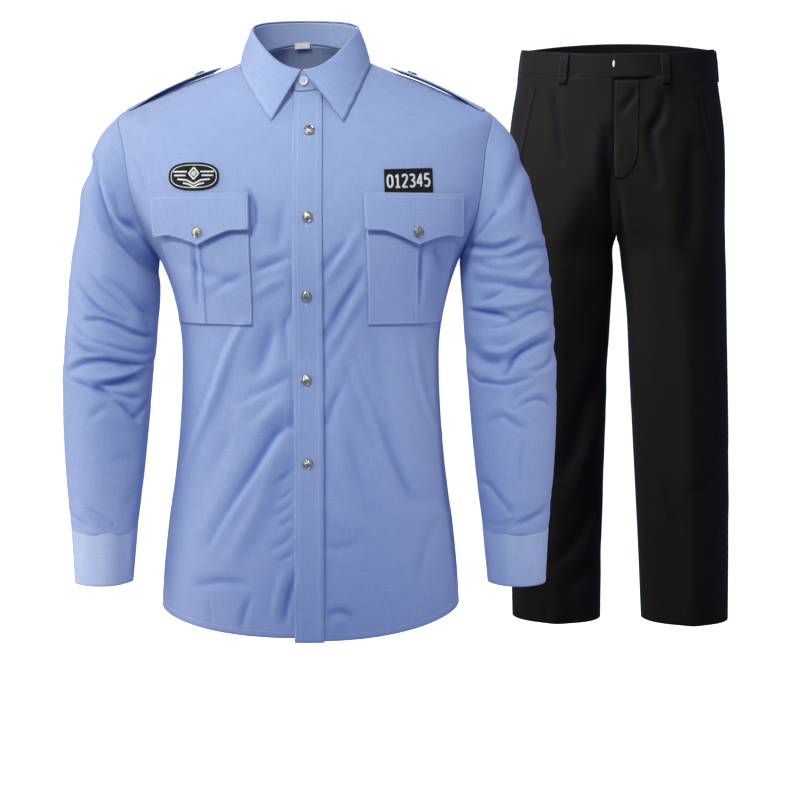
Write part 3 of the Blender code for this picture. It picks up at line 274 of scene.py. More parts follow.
# Creases: depth in mm (troughs below 0), half width, lean (which side is the steeper), and
# then the points of their line. These are in pixels of the 800 px picture.
BODY_CREASES = (
    (3.5, 4.8, 0.2,  244, 322,  230, 350,  220, 380,  207, 415,  195, 443,  181, 478),
    (2.4, 12, 0,  240, 334,  222, 376,  204, 424,  188, 462),
    (-4.1, 11, 0,  276, 322,  264, 350,  256, 378),
    (-2.6, 6.3, 0.2,  288, 376,  266, 388,  243, 400),
    (4.1, 9, 0,  286, 398,  272, 412,  256, 430),
    (-4.7, 6.9, 0.2,  289, 424,  274, 436,  258, 462,  240, 490,  224, 514,  207, 545),
    (3.2, 9.2, 0,  286, 446,  272, 470,  258, 505,  242, 536,  230, 560),
    (-1.8, 9.2, 0,  234, 420,  220, 452,  205, 486),
    (-1.4, 3, 0,  292, 469,  284, 476,  274, 483),
    (-1.4, 2.4, 0,  292, 489,  286, 494,  280, 500),
    (-1.3, 3, 0,  292, 501,  285, 509,  275, 514),
    (-1.5, 2.4, 0,  292, 517,  286, 522,  280, 526),
    (-1.5, 3.4, 0,  292, 530,  285, 541,  271, 549),
    (-1.5, 2.6, 0,  292, 552,  286, 557,  278, 561),
    (-3.1, 4.1, 0.2,  295, 574,  290, 590,  286, 606,  284, 622),
    (1.9, 4.1, 0,  283, 576,  279, 594,  276, 612),
    (-3, 5.8, 0,  194, 585,  218, 581,  246, 583),
    (-2, 4, 0,  250, 598,  244, 612,  241, 628),
    (-1.2, 3, 0,  206, 600,  210, 612,  209, 626),
    (-3, 5.2, 0.2,  288, 258,  270, 265,  254, 271),
    (1.9, 5.8, 0,  284, 279,  268, 285,  252, 297),
    (-2.6, 4.6, 0,  289, 310,  284, 330,  286, 357),
    (-1.8, 6.9, 0,  282, 205,  279, 226,  275, 246),
    (2.3, 5.2, 0,  325, 283,  342, 258,  360, 230),
    (-3.2, 4.6, 0.2,  325, 335,  338, 311,  352, 289,  362, 270),
    (2.6, 5.2, 0,  326, 353,  344, 323,  362, 291),
    (-1.9, 4.6, 0,  324, 269,  332, 257,  345, 243),
    (-2.6, 4.6, 0,  326, 425,  331, 406,  341, 387),
    (2.3, 8, 0,  330, 383,  344, 352,  356, 326),
    (2.7, 4.4, 0.2,  352, 362,  362, 392,  376, 428,  390, 466,  405, 500),
    (-3.8, 12, 0,  384, 430,  396, 468,  414, 494,  440, 500),
    (3, 12, 0,  342, 396,  342, 446,  352, 500),
    (-3, 14, 0,  376, 330,  380, 380,  394, 436),
    (2.6, 3.9, 0,  414, 344,  418, 372,  425, 402,  440, 434),
    (3.2, 12, 0,  330, 505,  352, 520,  378, 536),
    (-1.6, 5.8, 0,  326, 545,  338, 547,  353, 543),
    (-1.6, 6.9, 0,  346, 430,  352, 460,  361, 489),
    (-2, 4.6, 0,  326, 616,  338, 610,  353, 616),
    (1.8, 4.6, 0,  330, 627,  342, 620,  354, 627),
    (-1.6, 5.8, 0,  436, 520,  424, 548,  418, 580),
    (-3.9, 4.1, 0.2,  250, 192,  254, 206,  255, 220,  252, 234),
    (-3, 2.6, 0,  195, 243,  196, 270,  198, 304),
    (-3, 2.6, 0,  421, 243,  420, 268,  418, 304),
    (-1.5, 2.6, 0,  324, 245,  324, 330,  324, 420,  325, 520,  326, 612),
    (-1.2, 2.6, 0,  291, 240,  291, 300,  291, 350),
    (-1.2, 2.6, 0,  291, 372,  291, 420,  291, 445),
    (-2.7, 4.6, 0,  434, 246,  437, 258,  441, 272),
    (1.6, 4.6, 0,  428, 262,  430, 280),
    (-1.6, 5, 0,  211, 293,  226, 283,  244, 275),
    (-1.4, 6, 0,  179, 259,  196, 268,  221, 278,  239, 283),
    (-1.6, 5.8, 0,  456, 198,  459, 212,  462, 232),
    (-1.5, 3, 0,  129, 153,  138, 170,  149, 203),
)
LEFT_SLEEVE_CREASES = (
    (-13.1, 6, 0.25,  93, 164,  94, 180,  100, 201,  109, 220,  120, 238,  133, 251,  147, 264,
        157, 273),
    (-10.6, 6, 0.2,  114, 201,  120, 215,  129, 224,  140, 228,  150, 237),
    (-1.8, 2.2, 0,  100, 185,  104, 199,  112, 211,  124, 224),
    (5.6, 6.5, 0,  108, 195,  122, 217,  136, 234,  149, 246),
    (3.8, 4, 0,  96, 216,  108, 238,  120, 249,  133, 260,  147, 272),
    (-5.6, 5, 0.2,  78, 285,  86, 297,  99, 309,  110, 317,  124, 324),
    (-3, 4.5, 0,  87, 270,  98, 285,  115, 299,  131, 314),
    (-3.8, 5, 0,  109, 281,  129, 296,  140, 308,  149, 314),
    (-5, 8, 0,  142, 302,  150, 316,  152, 331),
    (-5.2, 3.2, 0.3,  87, 319,  102, 320,  117, 325,  133, 332,  143, 335,  152, 336),
    (-2.8, 3, 0,  75, 326,  85, 337,  100, 343,  120, 349,  138, 353,  152, 353),
    (-3, 3.4, 0,  75, 341,  86, 350,  98, 355),
    (-6.2, 4.2, 0.3,  68, 371,  79, 364,  92, 361,  109, 361,  129, 364,  145, 365,  154, 360),
    (4, 4.5, 0,  86, 377,  101, 378,  117, 376,  133, 370,  147, 366),
    (-6.9, 5, 0.35,  97, 387,  109, 384,  122, 381,  133, 377,  147, 371),
    (-3.8, 3.4, 0,  67, 377,  82, 384,  98, 390,  114, 394,  129, 397,  140, 397),
    (-4, 3.6, 0,  98, 390,  114, 400,  124, 407,  133, 416,  139, 419),
    (-3.2, 3.6, 0,  149, 401,  141, 410,  135, 418),
    (-1.8, 5, 0,  90, 418,  99, 411,  108, 409),
    (-2, 6, 0,  113, 463,  123, 457,  134, 459),
    (-2, 6, 0,  123, 512,  132, 497,  140, 488),
    (-2.5, 4, 0,  72, 515,  79, 519,  88, 526),
    (-2, 5, 0,  76, 493,  89, 508,  104, 517,  115, 528),
    (-1.8, 2.4, 0,  100, 524,  101, 530,  102, 534),
    (-1.8, 2.4, 0,  112, 522,  113, 529,  113, 534),
    (-1.8, 4, 0,  84, 200,  78, 222,  76, 246),
)
RIGHT_SLEEVE_CREASES = (
    (-4.5, 3.6, 0.2,  494, 212,  488, 220,  481, 229,  473, 238),
    (-5.6, 8.5, 0,  521, 161,  513, 182,  505, 200,  495, 212),
    (-2, 5, 0,  493, 155,  489, 169,  486, 182),
    (-2, 5, 0,  527, 190,  526, 206,  524, 222),
    (-5.8, 4.4, 0.2,  468, 243,  481, 247,  497, 248,  509, 244,  520, 240),
    (4, 4.5, 0,  464, 251,  483, 255,  501, 254,  513, 250,  523, 245),
    (-5, 5, 0,  484, 258,  504, 257,  516, 254,  527, 250,  538, 247,  547, 247),
    (-2.2, 4, 0,  477, 262,  488, 267,  502, 269),
    (3.5, 5, 0,  543, 261,  532, 271,  524, 279),
    (-5.2, 5, 0,  477, 281,  504, 283,  523, 286,  539, 288,  551, 287),
    (-4, 4, 0.2,  507, 289,  493, 296,  482, 301),
    (4.2, 5, 0,  478, 305,  492, 306,  511, 305,  527, 302,  541, 295),
    (-4.5, 3, 0.3,  468, 309,  480, 311,  493, 313,  502, 315,  511, 319),
    (-3.2, 3.2, 0,  552, 313,  543, 310,  534, 312,  523, 317,  509, 324,  495, 328),
    (5, 5.5, 0,  486, 352,  504, 352,  518, 345,  534, 336,  546, 329),
    (-7.5, 5.5, 0.3,  548, 338,  530, 347,  518, 355,  512, 364,  507, 371,  500, 374),
    (-6.2, 7.5, 0,  470, 348,  480, 358,  492, 362,  506, 361),
    (-3, 2.8, 0,  471, 374,  478, 381,  486, 382,  502, 384,  515, 382,  531, 378),
    (-3.8, 4, 0,  554, 343,  553, 354,  548, 363,  541, 368,  530, 371),
    (-2.5, 5, 0,  538, 385,  520, 395,  509, 405),
    (-4.2, 4, 0.2,  551, 405,  544, 400,  536, 399,  525, 403,  513, 410),
    (-3.2, 4.5, 0,  487, 422,  502, 416,  510, 420,  517, 425,  526, 428),
    (-3.2, 4, 0,  479, 481,  486, 483,  493, 490,  502, 501,  511, 512),
    (-3.8, 4.5, 0.2,  508, 528,  520, 523,  532, 518,  542, 511,  549, 502),
    (-1.8, 2.4, 0,  488, 523,  500, 525,  510, 521,  518, 518),
    (-1.5, 4, 0,  524, 440,  520, 462,  522, 484),
)
CUFF_CREASES = (
    (1.5, 9, -0.3,  104, 528,  107, 556,  108, 590),
    (-3.2, 7, 0,  122, 530,  125, 556,  126, 590),
    (1.2, 7, 0,  506, 528,  507, 556,  507, 590),
    (-1.4, 6, 0,  494, 536,  495, 560,  496, 586),
)
TROUSER_CREASES = (
    (-3.4, 4, 0.2,  635, 91,  632, 99,  627, 105,  622, 113),
    (-7, 4, 0.2,  553, 96,  554, 108,  558, 122,  559, 142,  563, 160),
    (-6.5, 5, 0.2,  664, 95,  663, 106,  659, 119,  652, 130,  652, 146,  657, 166,  659, 182),
    (3, 7, 0,  595, 136,  596, 168,  600, 204),
    (-5, 10, 0,  692, 144,  690, 180,  688, 226,  684, 270),
    (-11, 8, 0,  610, 132,  608, 158,  611, 184,  616, 210,  620, 240),
    (-1.6, 3, 0,  624, 143,  624, 156,  623, 164),
    (-4, 3.4, 0,  700, 98,  702, 114,  705, 130,  706, 146),
    (-2, 8, 0,  694, 146,  693, 176,  692, 210,  690, 240),
    (-4, 10, 0.2,  590, 292,  592, 318,  598, 346,  604, 366),
    (-5, 9, 0.2,  605, 372,  590, 396,  580, 426,  572, 452,  556, 480),
    (3, 8, 0,  600, 420,  588, 450,  574, 486,  562, 512),
    (-4.5, 8, 0.2,  600, 468,  594, 500,  584, 528,  570, 548,  550, 566),
    (-3.5, 8, 0,  598, 548,  586, 570,  566, 588),
    (1.8, 3.5, 0,  632, 400,  642, 425,  651, 455,  660, 482,  667, 515),
    (-2.4, 10, 0,  722, 452,  712, 478,  694, 498),
    (2.4, 9, 0,  724, 500,  716, 520,  710, 548),
    (-1.6, 8, 0,  660, 502,  672, 518,  680, 530),
    (-1.6, 3, 0,  546, 596,  547, 612,  547, 622),
    (-1.4, 2.5, 0,  692, 606,  692, 616,  692, 623),
)

# Creases on the backs, in mm, seen from the front: x and z, the trousers' in their frame.
BACK_CREASES = (
    (-3.6, 15, 0.2,  -150, -250,  -122, -290,  -86, -330,  -40, -356),
    (-3.2, 14, -0.2,  152, -262,  126, -306,  96, -338,  52, -372),
    (3.2, 14, 0,  -158, -292,  -128, -334,  -92, -370,  -50, -392),
    (3, 14, 0,  156, -300,  128, -346,  94, -384),
    (-3.8, 15, 0.2,  -120, -402,  -70, -424,  -10, -432,  44, -424),
    (-3, 14, 0,  128, -426,  86, -462,  40, -484,  -12, -490),
    (3, 16, 0,  -118, -450,  -72, -476,  -20, -486),
    (-3, 18, 0,  -92, -510,  -74, -570,  -66, -640),
    (-2.6, 16, 0,  60, -520,  72, -586,  70, -660),
    (2.6, 20, 0,  -10, -520,  -2, -600,  4, -690),
    (-2.4, 12, 0,  -176, -176,  -166, -214,  -150, -244),
    (-2.2, 12, 0,  178, -170,  164, -210,  152, -238),
    (-1.8, 18, 0,  -92, -130,  -98, -178,  -86, -226),
    (-1.8, 18, 0,  96, -134,  92, -186,  102, -232),
)
TROUSER_BACK_CREASES = (
    (-3.4, 16, 0,  -6, -232,  -44, -262,  -86, -280),
    (-3.4, 16, 0,  6, -232,  46, -264,  88, -278),
    (-2.6, 14, 0,  -14, -268,  -46, -300,  -76, -318),
    (-2.6, 14, 0,  14, -266,  44, -300,  78, -316),
    (-3, 18, 0,  -58, -430,  -92, -462,  -132, -476),
    (-2.4, 18, 0,  60, -452,  96, -490,  134, -498),
    (-2.6, 18, 0,  -66, -560,  -94, -600,  -128, -622),
    (-1.8, 12, 0,  -70, 14,  -66, -20,  -58, -52),
    (-1.8, 12, 0,  70, 14,  66, -20,  58, -52),
    (-1.6, 16, 0,  64, -600,  92, -640,  128, -660),
)
BACK_TURN = (-7.0, 16.0)            # a sleeve's back has its front's creases, moved so, in px
BACK_SHARE = 0.85

# ---------------------------------------------------------------- colours: linear rgb
UNEVEN = (0.10, 0.10, 0.02, 0.16)   # blotches, slubs, grain, and single threads' depth
SHIRT_BLUE = (0.36, 0.455, 0.75)
# Painted shade: the shirt's colour in the hollows of its folds.
SHIRT_PAINTED_SHADE = (0.16, 0.24, 0.60)
# Painted light: the cuffs' cloth is a lighter copy of the shirt's, standing for the stronger
# light on them.
CUFF_PAINTED_LIGHT_BLUE = (0.50, 0.60, 0.86)
TROUSER_BLACK = (0.0076, 0.0050, 0.0026)
# Painted shade: the trousers' colour in the hollows of their folds.
TROUSER_PAINTED_SHADE = (0.004, 0.0036, 0.0036)
METAL_TINT = (0.50, 0.475, 0.41)
STEEL_TINT = (0.50, 0.50, 0.50)
PLASTIC_WHITE = (0.80, 0.83, 0.90)
# The label's colour, and its painted shade in hollows.
LABEL_WHITE, LABEL_PAINTED_SHADE = (0.88, 0.88, 0.88), (0.6, 0.6, 0.6)
# The patches' colour, and their painted shade in hollows.
PATCH_BLACK, PATCH_PAINTED_SHADE = (0.012, 0.012, 0.014), (0.005, 0.005, 0.005)
THREAD_SILVER = (0.86, 0.86, 0.86)
THREAD_BLUE = (0.74, 0.80, 0.95)
# Painted shade: a dark bar stands for the shadowed opening of each buttonhole.
SLIT_PAINTED_SHADE = (0.10, 0.14, 0.32)
THREAD_BLACK = (0.007, 0.0065, 0.0065)
# Painted shade: dark discs stand for the shadowed insides of a button's holes.
PLASTIC_HOLE_PAINTED_SHADE = (0.10, 0.12, 0.18)

# ---------------------------------------------------------------- buttons, sign and number
# Turned forms: radius as a share of the button's, or in mm for a hole, and height in mm.
METAL_PROFILE = ((0.70, 0.0), (0.92, 0.25), (1, 0.9), (0.985, 1.5), (0.93, 1.95), (0.86, 2.05),
                 (0.80, 1.8), (0.76, 1.55), (0.72, 1.75), (0.62, 2.1), (0.50, 2.35),
                 (0.36, 2.55), (0.26, 2.62), (0.20, 2.9), (0.08, 3.0))
PLASTIC_PROFILE = ((0.80, 0.0), (0.97, 0.5), (1, 1.2), (0.97, 1.9), (0.88, 2.3), (0.76, 2.35),
                   (0.64, 2.05), (0.55, 1.75), (0.30, 1.65), (0.05, 1.65))
HOLE_PROFILE, HOLE_APART = ((0.62, 1.55), (0.62, 1.74), (0.4, 1.76)), 1.05
RAYS, RAYS_AT, RAYS_WIDE, RAYS_HIGH = 12, 0.5, 0.22, 0.28

# Digits as strokes in a box 1 wide and 2 high, and the plain generic number they spell.
DIGITS = {
    "0": (((0.5, 2), (0.15, 1.8), (0, 1.4), (0, 0.6), (0.15, 0.2), (0.5, 0), (0.85, 0.2),
           (1, 0.6), (1, 1.4), (0.85, 1.8), (0.5, 2)),),
    "1": (((0.15, 1.6), (0.55, 2), (0.55, 0)), ((0.1, 0), (1.0, 0))),
    "2": (((0, 1.6), (0.2, 1.92), (0.55, 2), (0.9, 1.8), (0.95, 1.4), (0.7, 0.95), (0, 0)),
          ((0, 0), (1, 0))),
    "3": (((0, 1.85), (0.5, 2), (0.9, 1.8), (0.9, 1.3), (0.45, 1.05), (0.9, 0.8), (1, 0.4),
           (0.75, 0.05), (0.4, 0), (0, 0.2)),),
    "4": (((0.75, 0), (0.75, 2), (0, 0.6), (1.05, 0.6)),),
    "5": (((0.95, 2), (0.15, 2), (0.08, 1.15), (0.5, 1.3), (0.9, 1.1), (1, 0.6), (0.8, 0.1),
           (0.4, 0), (0, 0.2)),),
}
NUMBER, DIGIT_HIGH, DIGIT_WIDE, DIGIT_PITCH, DIGIT_STROKE = "012345", 14.8, 5.9, 8.9, 2.8

# The badge: a plain generic sign of two bars each side of a lozenge, over two chevrons.
BADGE_LINES = (
    ((-25, 5.5), (-8.5, 5.5)), ((-24, 1.0), (-10, 1.0)), ((25, 5.5), (8.5, 5.5)),
    ((24, 1.0), (10, 1.0)),
    ((0, 10.5), (6, 3.5), (0, -3.5), (-6, 3.5), (0, 10.5)),
    ((-20, -3.5), (-9, -4.5), (0, -9.0), (9, -4.5), (20, -3.5)),
    ((-13, -8.0), (-6, -9.5), (0, -12.8), (6, -9.5), (13, -8.0)),
    ((0, 6.0), (2.2, 3.5), (0, 1.0), (-2.2, 3.5), (0, 6.0)),
)

# The studio: its strength and tint, its floor and reach in metres, and its lamps: name, place,
# aim, width and height in metres, watts, colour, spread in radians.
STUDIO, STUDIO_TINT = 0.45, (0.42, 0.54, 1.0)
FLOOR, STAGE_REACH = -1.35, 30.0
LAMPS = (
    ("key", (-0.9, -2.2, 1.3), (-0.05, -0.1, -0.05), (0.6, 0.6), 1.75, (0.97, 1.0, 0.8), 0.57),
    ("key_right", (0.9, -2.2, 1.3), (0.1, -0.1, -0.05), (0.6, 0.6), 0.45, (1.0, 0.85, 0.45),
     0.55),
    ("left", (-2.6, -0.3, 0.2), (-0.1, 0.05, -0.3), (0.8, 2.2), 38, (1.0, 0.86, 0.55), 3.1),
    ("left_low", (-1.5, -0.6, -0.6), (-0.3, -0.02, -0.55), (0.3, 0.5), 0.05, (0.4, 0.7, 1.0),
     0.35),
    ("cuffs_left", (-0.6, -1.8, -1.1), (-0.28, -0.02, -0.62), (0.2, 0.2), 0.06,
     (1.0, 0.88, 0.55), 0.2),
    ("right_low", (1.5, -0.7, -0.6), (0.3, -0.02, -0.5), (0.3, 0.5), 0.14, (1.0, 0.95, 0.6),
     0.35),
    ("behind", (0.3, 3.0, 1.2), (0.1, 0.0, -0.3), (1.5, 1.5), 40, (0.95, 0.97, 1.0), 3.1),
    ("trousers", (0.0, 0.1, 0.75), (0.42, 0.5, -0.2), (0.4, 0.4), 2.5, (0.54, 0.62, 0.9), 0.8),
)

SIDES = {"right": -1, "left": 1}


# ---------------------------------------------------------------- lines, rings and folds
def spline(at, knots, values):
    """Smooth curve through values at uneven knots; goes on straight past the ends."""
    knots, values, at = (np.asarray(each, float) for each in (knots, values, at))
    slopes = np.gradient(values, knots, axis=0)
    inside = np.clip(at, knots[0], knots[-1])
    i = np.clip(np.searchsorted(knots, inside, side="right") - 1, 0, len(knots) - 2)
    step = knots[i + 1] - knots[i]
    t, past = (inside - knots[i]) / step, at - inside
    if values.ndim > 1:
        step, t, past = step[..., None], t[..., None], past[..., None]
    return ((2 * t**3 - 3 * t**2 + 1) * values[i] + (t**3 - 2 * t**2 + t) * step * slopes[i]
            + (3 * t**2 - 2 * t**3) * values[i + 1] + (t**3 - t**2) * step * slopes[i + 1]
            + past * np.where(past > 0, slopes[-1], slopes[0]))


def tabled(at, table):
    """The value at a place, between the rows (place, value) of a table."""
    return np.interp(at, *np.transpose(table))


def lean(height):
    return tabled(height, LEAN)


def smooth(t):
    t = np.clip(t, 0.0, 1.0)
    return t * t * (3 - 2 * t)


def power(value, exponent):
    return np.sign(value) * np.abs(value) ** exponent


def unit(vectors):
    return vectors / np.maximum(np.linalg.norm(vectors, axis=-1, keepdims=True), 1e-9)


def turned(x, y, degrees):
    """Flat places turned about zero."""
    turn = np.radians(degrees)
    return x * np.cos(turn) - y * np.sin(turn), x * np.sin(turn) + y * np.cos(turn)


def run_of(points):
    """How far along its line each point is, down the first axis."""
    steps = np.linalg.norm(np.diff(points, axis=0), axis=-1)
    return np.concatenate([np.zeros_like(steps[:1]), np.cumsum(steps, axis=0)])


def runs(values, step):
    """The values with more between them, no further apart than a step."""
    fine = [np.linspace(a, b, max(1, int(np.ceil(abs(b - a) / step))), endpoint=False)
            for a, b in zip(values[:-1], values[1:])]
    return np.concatenate([*fine, [values[-1]]])


def grid_of(rows, columns):
    return np.meshgrid(rows, columns, indexing="ij")


def oval(angle, wide, side_z, front, front_z, back, back_z, square, rise=RISE):
    """Place on a squarish ring: x, y and height; angle 0 is its front, 90 its side."""
    cosine = np.cos(angle)
    ahead, share = cosine > 0, np.abs(cosine)
    y = np.where(ahead, -front, back) * share ** (2 / square)
    z = side_z + (np.where(ahead, front_z, back_z) - side_z) * share ** rise
    return wide * power(np.sin(angle), 2 / square), y, z


def normals_of(surface, u, v, du=0.6, dv=0.01):
    """Outward normals of surface(u, v), by differences; u goes up, v goes round."""
    up = surface(u + du, v) - surface(u - du, v)
    return unit(np.cross(surface(u, v + dv) - surface(u, v - dv), up))


def nearest(x, y, line):
    """How far places are from a line, how far along it (0 to 1), and how far to its side."""
    best, reach, side = np.full(x.shape, 1e9), np.zeros(x.shape), np.zeros(x.shape)
    for i, (start, end) in enumerate(zip(line[:-1], line[1:])):
        run = end - start
        dx, dy = x - start[0], y - start[1]
        t = np.clip((dx * run[0] + dy * run[1]) / (run @ run), 0, 1)
        dx, dy = dx - t * run[0], dy - t * run[1]
        far = np.hypot(dx, dy)
        closer = far < best
        reach = np.where(closer, (i + t) / (len(line) - 1), reach)
        side = np.where(closer, (run[0] * dy - run[1] * dx) / np.linalg.norm(run), side)
        best = np.minimum(best, far)
    return best, reach, side


def tapered(reach, end):
    """A rise and fall along a line, from a little above 0 at its ends."""
    return np.sin(np.pi * (end + (1 - 2 * end) * reach))


def ridge(points, folds):
    """Height of the folds at points: each is a rounded ridge along a line seen in front."""
    height = 0.0
    for line, width, high in folds:
        far, reach, _ = nearest(points[..., 0], points[..., 2], np.array(line, float))
        height = height + high * np.exp(-(far / width)**2) * tapered(reach, FOLD_END)
    return height


def creases(x, y, strokes):
    """Height at places x, y of the strokes: soft troughs and ridges with raised shoulders."""
    shape, x, y = np.shape(x), np.ravel(x), np.ravel(y)
    height = np.zeros(x.shape)
    for deep, wide, lean_, *line in strokes:
        line = np.reshape(line, (-1, 2)).astype(float)
        knots = np.arange(len(line))
        line = spline(np.linspace(0, knots[-1], 3 * knots[-1] + 1), knots, line)
        low, high = line.min(0) - 5 * wide, line.max(0) + 5 * wide
        near = np.flatnonzero((x > low[0]) & (x < high[0]) & (y > low[1]) & (y < high[1]))
        far, reach, side = nearest(x[near], y[near], line)
        width = wide * (1 + lean_ * np.clip(side / wide, -1, 1))
        form = (np.exp(-(far / width)**2)
                - SHOULDER_DEEP * np.exp(-(far / (SHOULDER_WIDE * width))**2))
        fade = tapered(reach, CREASE_END)**CREASE_BLUNT
        height[near] += deep / (1 - SHOULDER_DEEP) * form * fade
    return height.reshape(shape)


def in_front(normal, reach=BODY_REACH):
    """1 where the cloth faces the front, 0 where it faces the back, blended between."""
    return smooth((reach - normal[..., 1]) / (2 * reach))


def seen(point):
    """Where the camera sees points in mm, in pixels of the picture."""
    way = np.asarray(point) - CAMERA_AT
    pitch = np.radians(CAMERA_DOWN)
    deep = way[..., 1] * np.cos(pitch) - way[..., 2] * np.sin(pitch)
    high = way[..., 1] * np.sin(pitch) + way[..., 2] * np.cos(pitch)
    return PICTURE / 2 + FOCAL * way[..., 0] / deep, PICTURE / 2 - FOCAL * high / deep


# ---------------------------------------------------------------- the shirt body's skin
class Skin:
    """The shirt body's outer surface, by level (mm along the side) and angle from front."""

    def __init__(self):
        self.rings = np.array(BODY_RINGS, float)
        self.knots = run_of(self.rings[:, :2])
        self.fine = np.linspace(0.0, self.knots[-1], 320)
        self.turn = np.radians(np.arange(181))
        self.heights = self.ring(self.fine)[:, 1]
        self.arc = run_of(self.point(*grid_of(self.turn, self.fine)[::-1])).T

    def ring(self, level):
        return spline(level, self.knots, self.rings)

    def level(self, height):
        """Level of the ring whose side is at this height."""
        return np.interp(height, self.heights, self.fine)

    def point(self, level, angle):
        ring = np.moveaxis(self.ring(level), -1, 0)
        x, y, z = oval(angle, *ring)
        return np.stack([x + lean(ring[1]), y, z], -1)

    def cloth(self, level, angle, out=0.0):
        """A point on the cloth with all its folds, moved out by some millimetres."""
        point = self.point(level, angle)
        normal = normals_of(self.point, level, angle)
        facing = np.clip(-1.6 * normal[..., 1], 0, 1)
        front = in_front(normal)
        away = np.hypot(point[..., 1] / ARMHOLE_DEPTH,
                        (point[..., 2] - ARMHOLE_MIDDLE) / ARMHOLE_HALF) - 1
        calm = 1 - (smooth((np.abs(point[..., 0]) - CALM_FROM) / CALM_OVER)
                    * (1 - smooth(away / CALM_ROUND)))
        small = (front * creases(*seen(point), BODY_CREASES)
                 + (1 - front) * creases(point[..., 0], point[..., 2], BACK_CREASES))
        lift = out + facing * ridge(point, BODY_FOLDS) + calm * small
        return point + normal * lift[..., None]

    def angle_of_depth(self, level, y):
        """Angle on the ring (front or back) where the cloth is y deep."""
        ring = self.ring(level)
        cosine = min(1.0, abs(y) / (ring[2] if y < 0 else ring[4])) ** (ring[6] / 2)
        return np.arccos(cosine if y < 0 else -cosine)

    def armhole_angle(self, level, back=False):
        """Angle where the ring meets the armhole, or the side seam below it."""
        low, high = (np.pi, np.pi / 2) if back else (0.0, np.pi / 2)
        seam = self.angle_of_depth(level, SEAM / 2 if back else -SEAM / 2)

        def outside(angle):
            _, y, z = self.point(level, angle)
            return np.hypot(y / (ARMHOLE_DEPTH + SEAM / 2),
                            (z - ARMHOLE_MIDDLE) / (ARMHOLE_HALF + SEAM / 2)) > 1
        if outside(seam):
            return seam
        for _ in range(24):
            middle = (low + high) / 2
            low, high = (middle, high) if outside(middle) else (low, middle)
        return low

    def spread(self, level, start, end, count):
        """Angles from start to end, evenly spaced round the cloth."""
        angles = np.linspace(start, end, 120)
        run = run_of(self.point(np.full(120, level), angles))
        return np.interp(np.linspace(0, run[-1], count), run, angles)

    def from_front(self, x, z):
        """Level and angle of the front point seen at x, z."""
        ring = self.ring(self.fine)
        share = np.clip((x - lean(ring[:, 1])) / ring[:, 0], -1, 1)
        angle = np.arcsin(power(share, ring[:, 6] / 2))
        level = np.interp(z, self.point(self.fine, angle)[:, 2], self.fine)
        return level, np.interp(level, self.fine, angle)

    def by_tape(self, round_, heights):
        """Levels and angles of points this far round from the centre front, at heights."""
        angle = np.array([np.interp(abs(round_), run, self.turn) for run in self.arc])
        level = np.interp(heights, self.point(self.fine, angle)[:, 2], self.fine)
        return level, np.sign(round_) * np.interp(level, self.fine, angle)

    def below_neck(self, angle, lap):
        """Level of the point this far below the neck seam, at an angle."""
        line = self.point(self.fine, np.full(len(self.fine), angle))[::-1]
        return np.interp(lap, run_of(line), self.fine[::-1])


def shoulder_seam(level):
    """Angle of the seam between front and yoke: the armhole's top to beside the neck."""
    tip, neck = BODY.level(SHOULDER_TIP), BODY.level(NECK)
    share = smooth((level - tip) / (neck - tip))
    return np.radians(90.0 + (SHOULDER_SEAM_AT_NECK - 90.0) * share)


def shirt_panel(name, levels, ends, count, out=0.0, drop=0.0):
    """A body panel: for each level, cloth from one end angle to the other."""
    angles = np.array([BODY.spread(level, *ends(level), count) for level in levels])
    sink = np.clip(1 - (levels - levels[0]) / DROP_OVER, 0, 1)[:, None]
    levels = levels[:, None] - drop * np.cos(angles[0])**2 * sink
    cloth(name + "_cloth", BODY.cloth(levels, angles, out), SHIRT, "shirt_" + name)


def make_body():
    tip, seam = BODY.level(SHOULDER_TIP), BODY.level(YOKE_BACK)
    levels = [BODY.level(z) for z in PANEL_LEVELS]
    levels[-1] -= SEAM
    fine, count = runs(levels, STEP_FRONT), int(FRONT_ROUND / STEP_FRONT)

    def middle(level):
        return BODY.from_front(UNDERLAP, BODY.point(level, 0.0)[2])[1]

    def side(level, back=False):
        if level < tip:
            return BODY.armhole_angle(level, back)
        return shoulder_seam(level) + (SHOULDER_GAP if back else -SHOULDER_GAP)

    def behind(level):
        return side(level, back=True), 2 * np.pi - side(level, back=True)
    shirt_panel("front_left", fine, lambda level: (middle(level) + FRONT_GAP, side(level)),
                count, drop=LEFT_DROP)
    shirt_panel("front_right", fine, lambda level: (-side(level), middle(level) - FRONT_GAP),
                count)
    low = [level for level in levels if level < seam - CLOSE] + [seam - SEAM / 2]
    shirt_panel("back", runs(low, STEP_BACK), behind, int(BACK_ROUND / STEP_BACK))
    high = [seam + SEAM / 2] + [level for level in levels if level > seam + CLOSE]
    shirt_panel("yoke", runs(high, STEP_BACK), behind, int(YOKE_ROUND / STEP_BACK))


def make_placket():
    foot, *rest = PANEL_LEVELS
    levels = [BODY.level(foot) - PLACKET_DROP] + [BODY.level(z) for z in rest]
    levels[-1] -= PLACKET_TUCK

    def ends(level):
        z = BODY.point(max(level, 0.0), 0.0)[2]
        return [BODY.from_front(x, z)[1] for x in (PLACKET_LEFT, PLACKET_RIGHT)]
    shirt_panel("placket", runs(levels, STEP_FRONT), ends, int(PLACKET_COLUMNS / COARSE),
                out=FACE)


def front_places(x, z, out):
    """Places on the front, seen at x and z: where they are and which way they face."""
    found = np.array([BODY.from_front(*place) for place in zip(np.ravel(x), np.ravel(z))])
    level, angle = found.T.reshape(2, *np.shape(x))
    return BODY.cloth(level, angle, out), normals_of(BODY.point, level, angle)


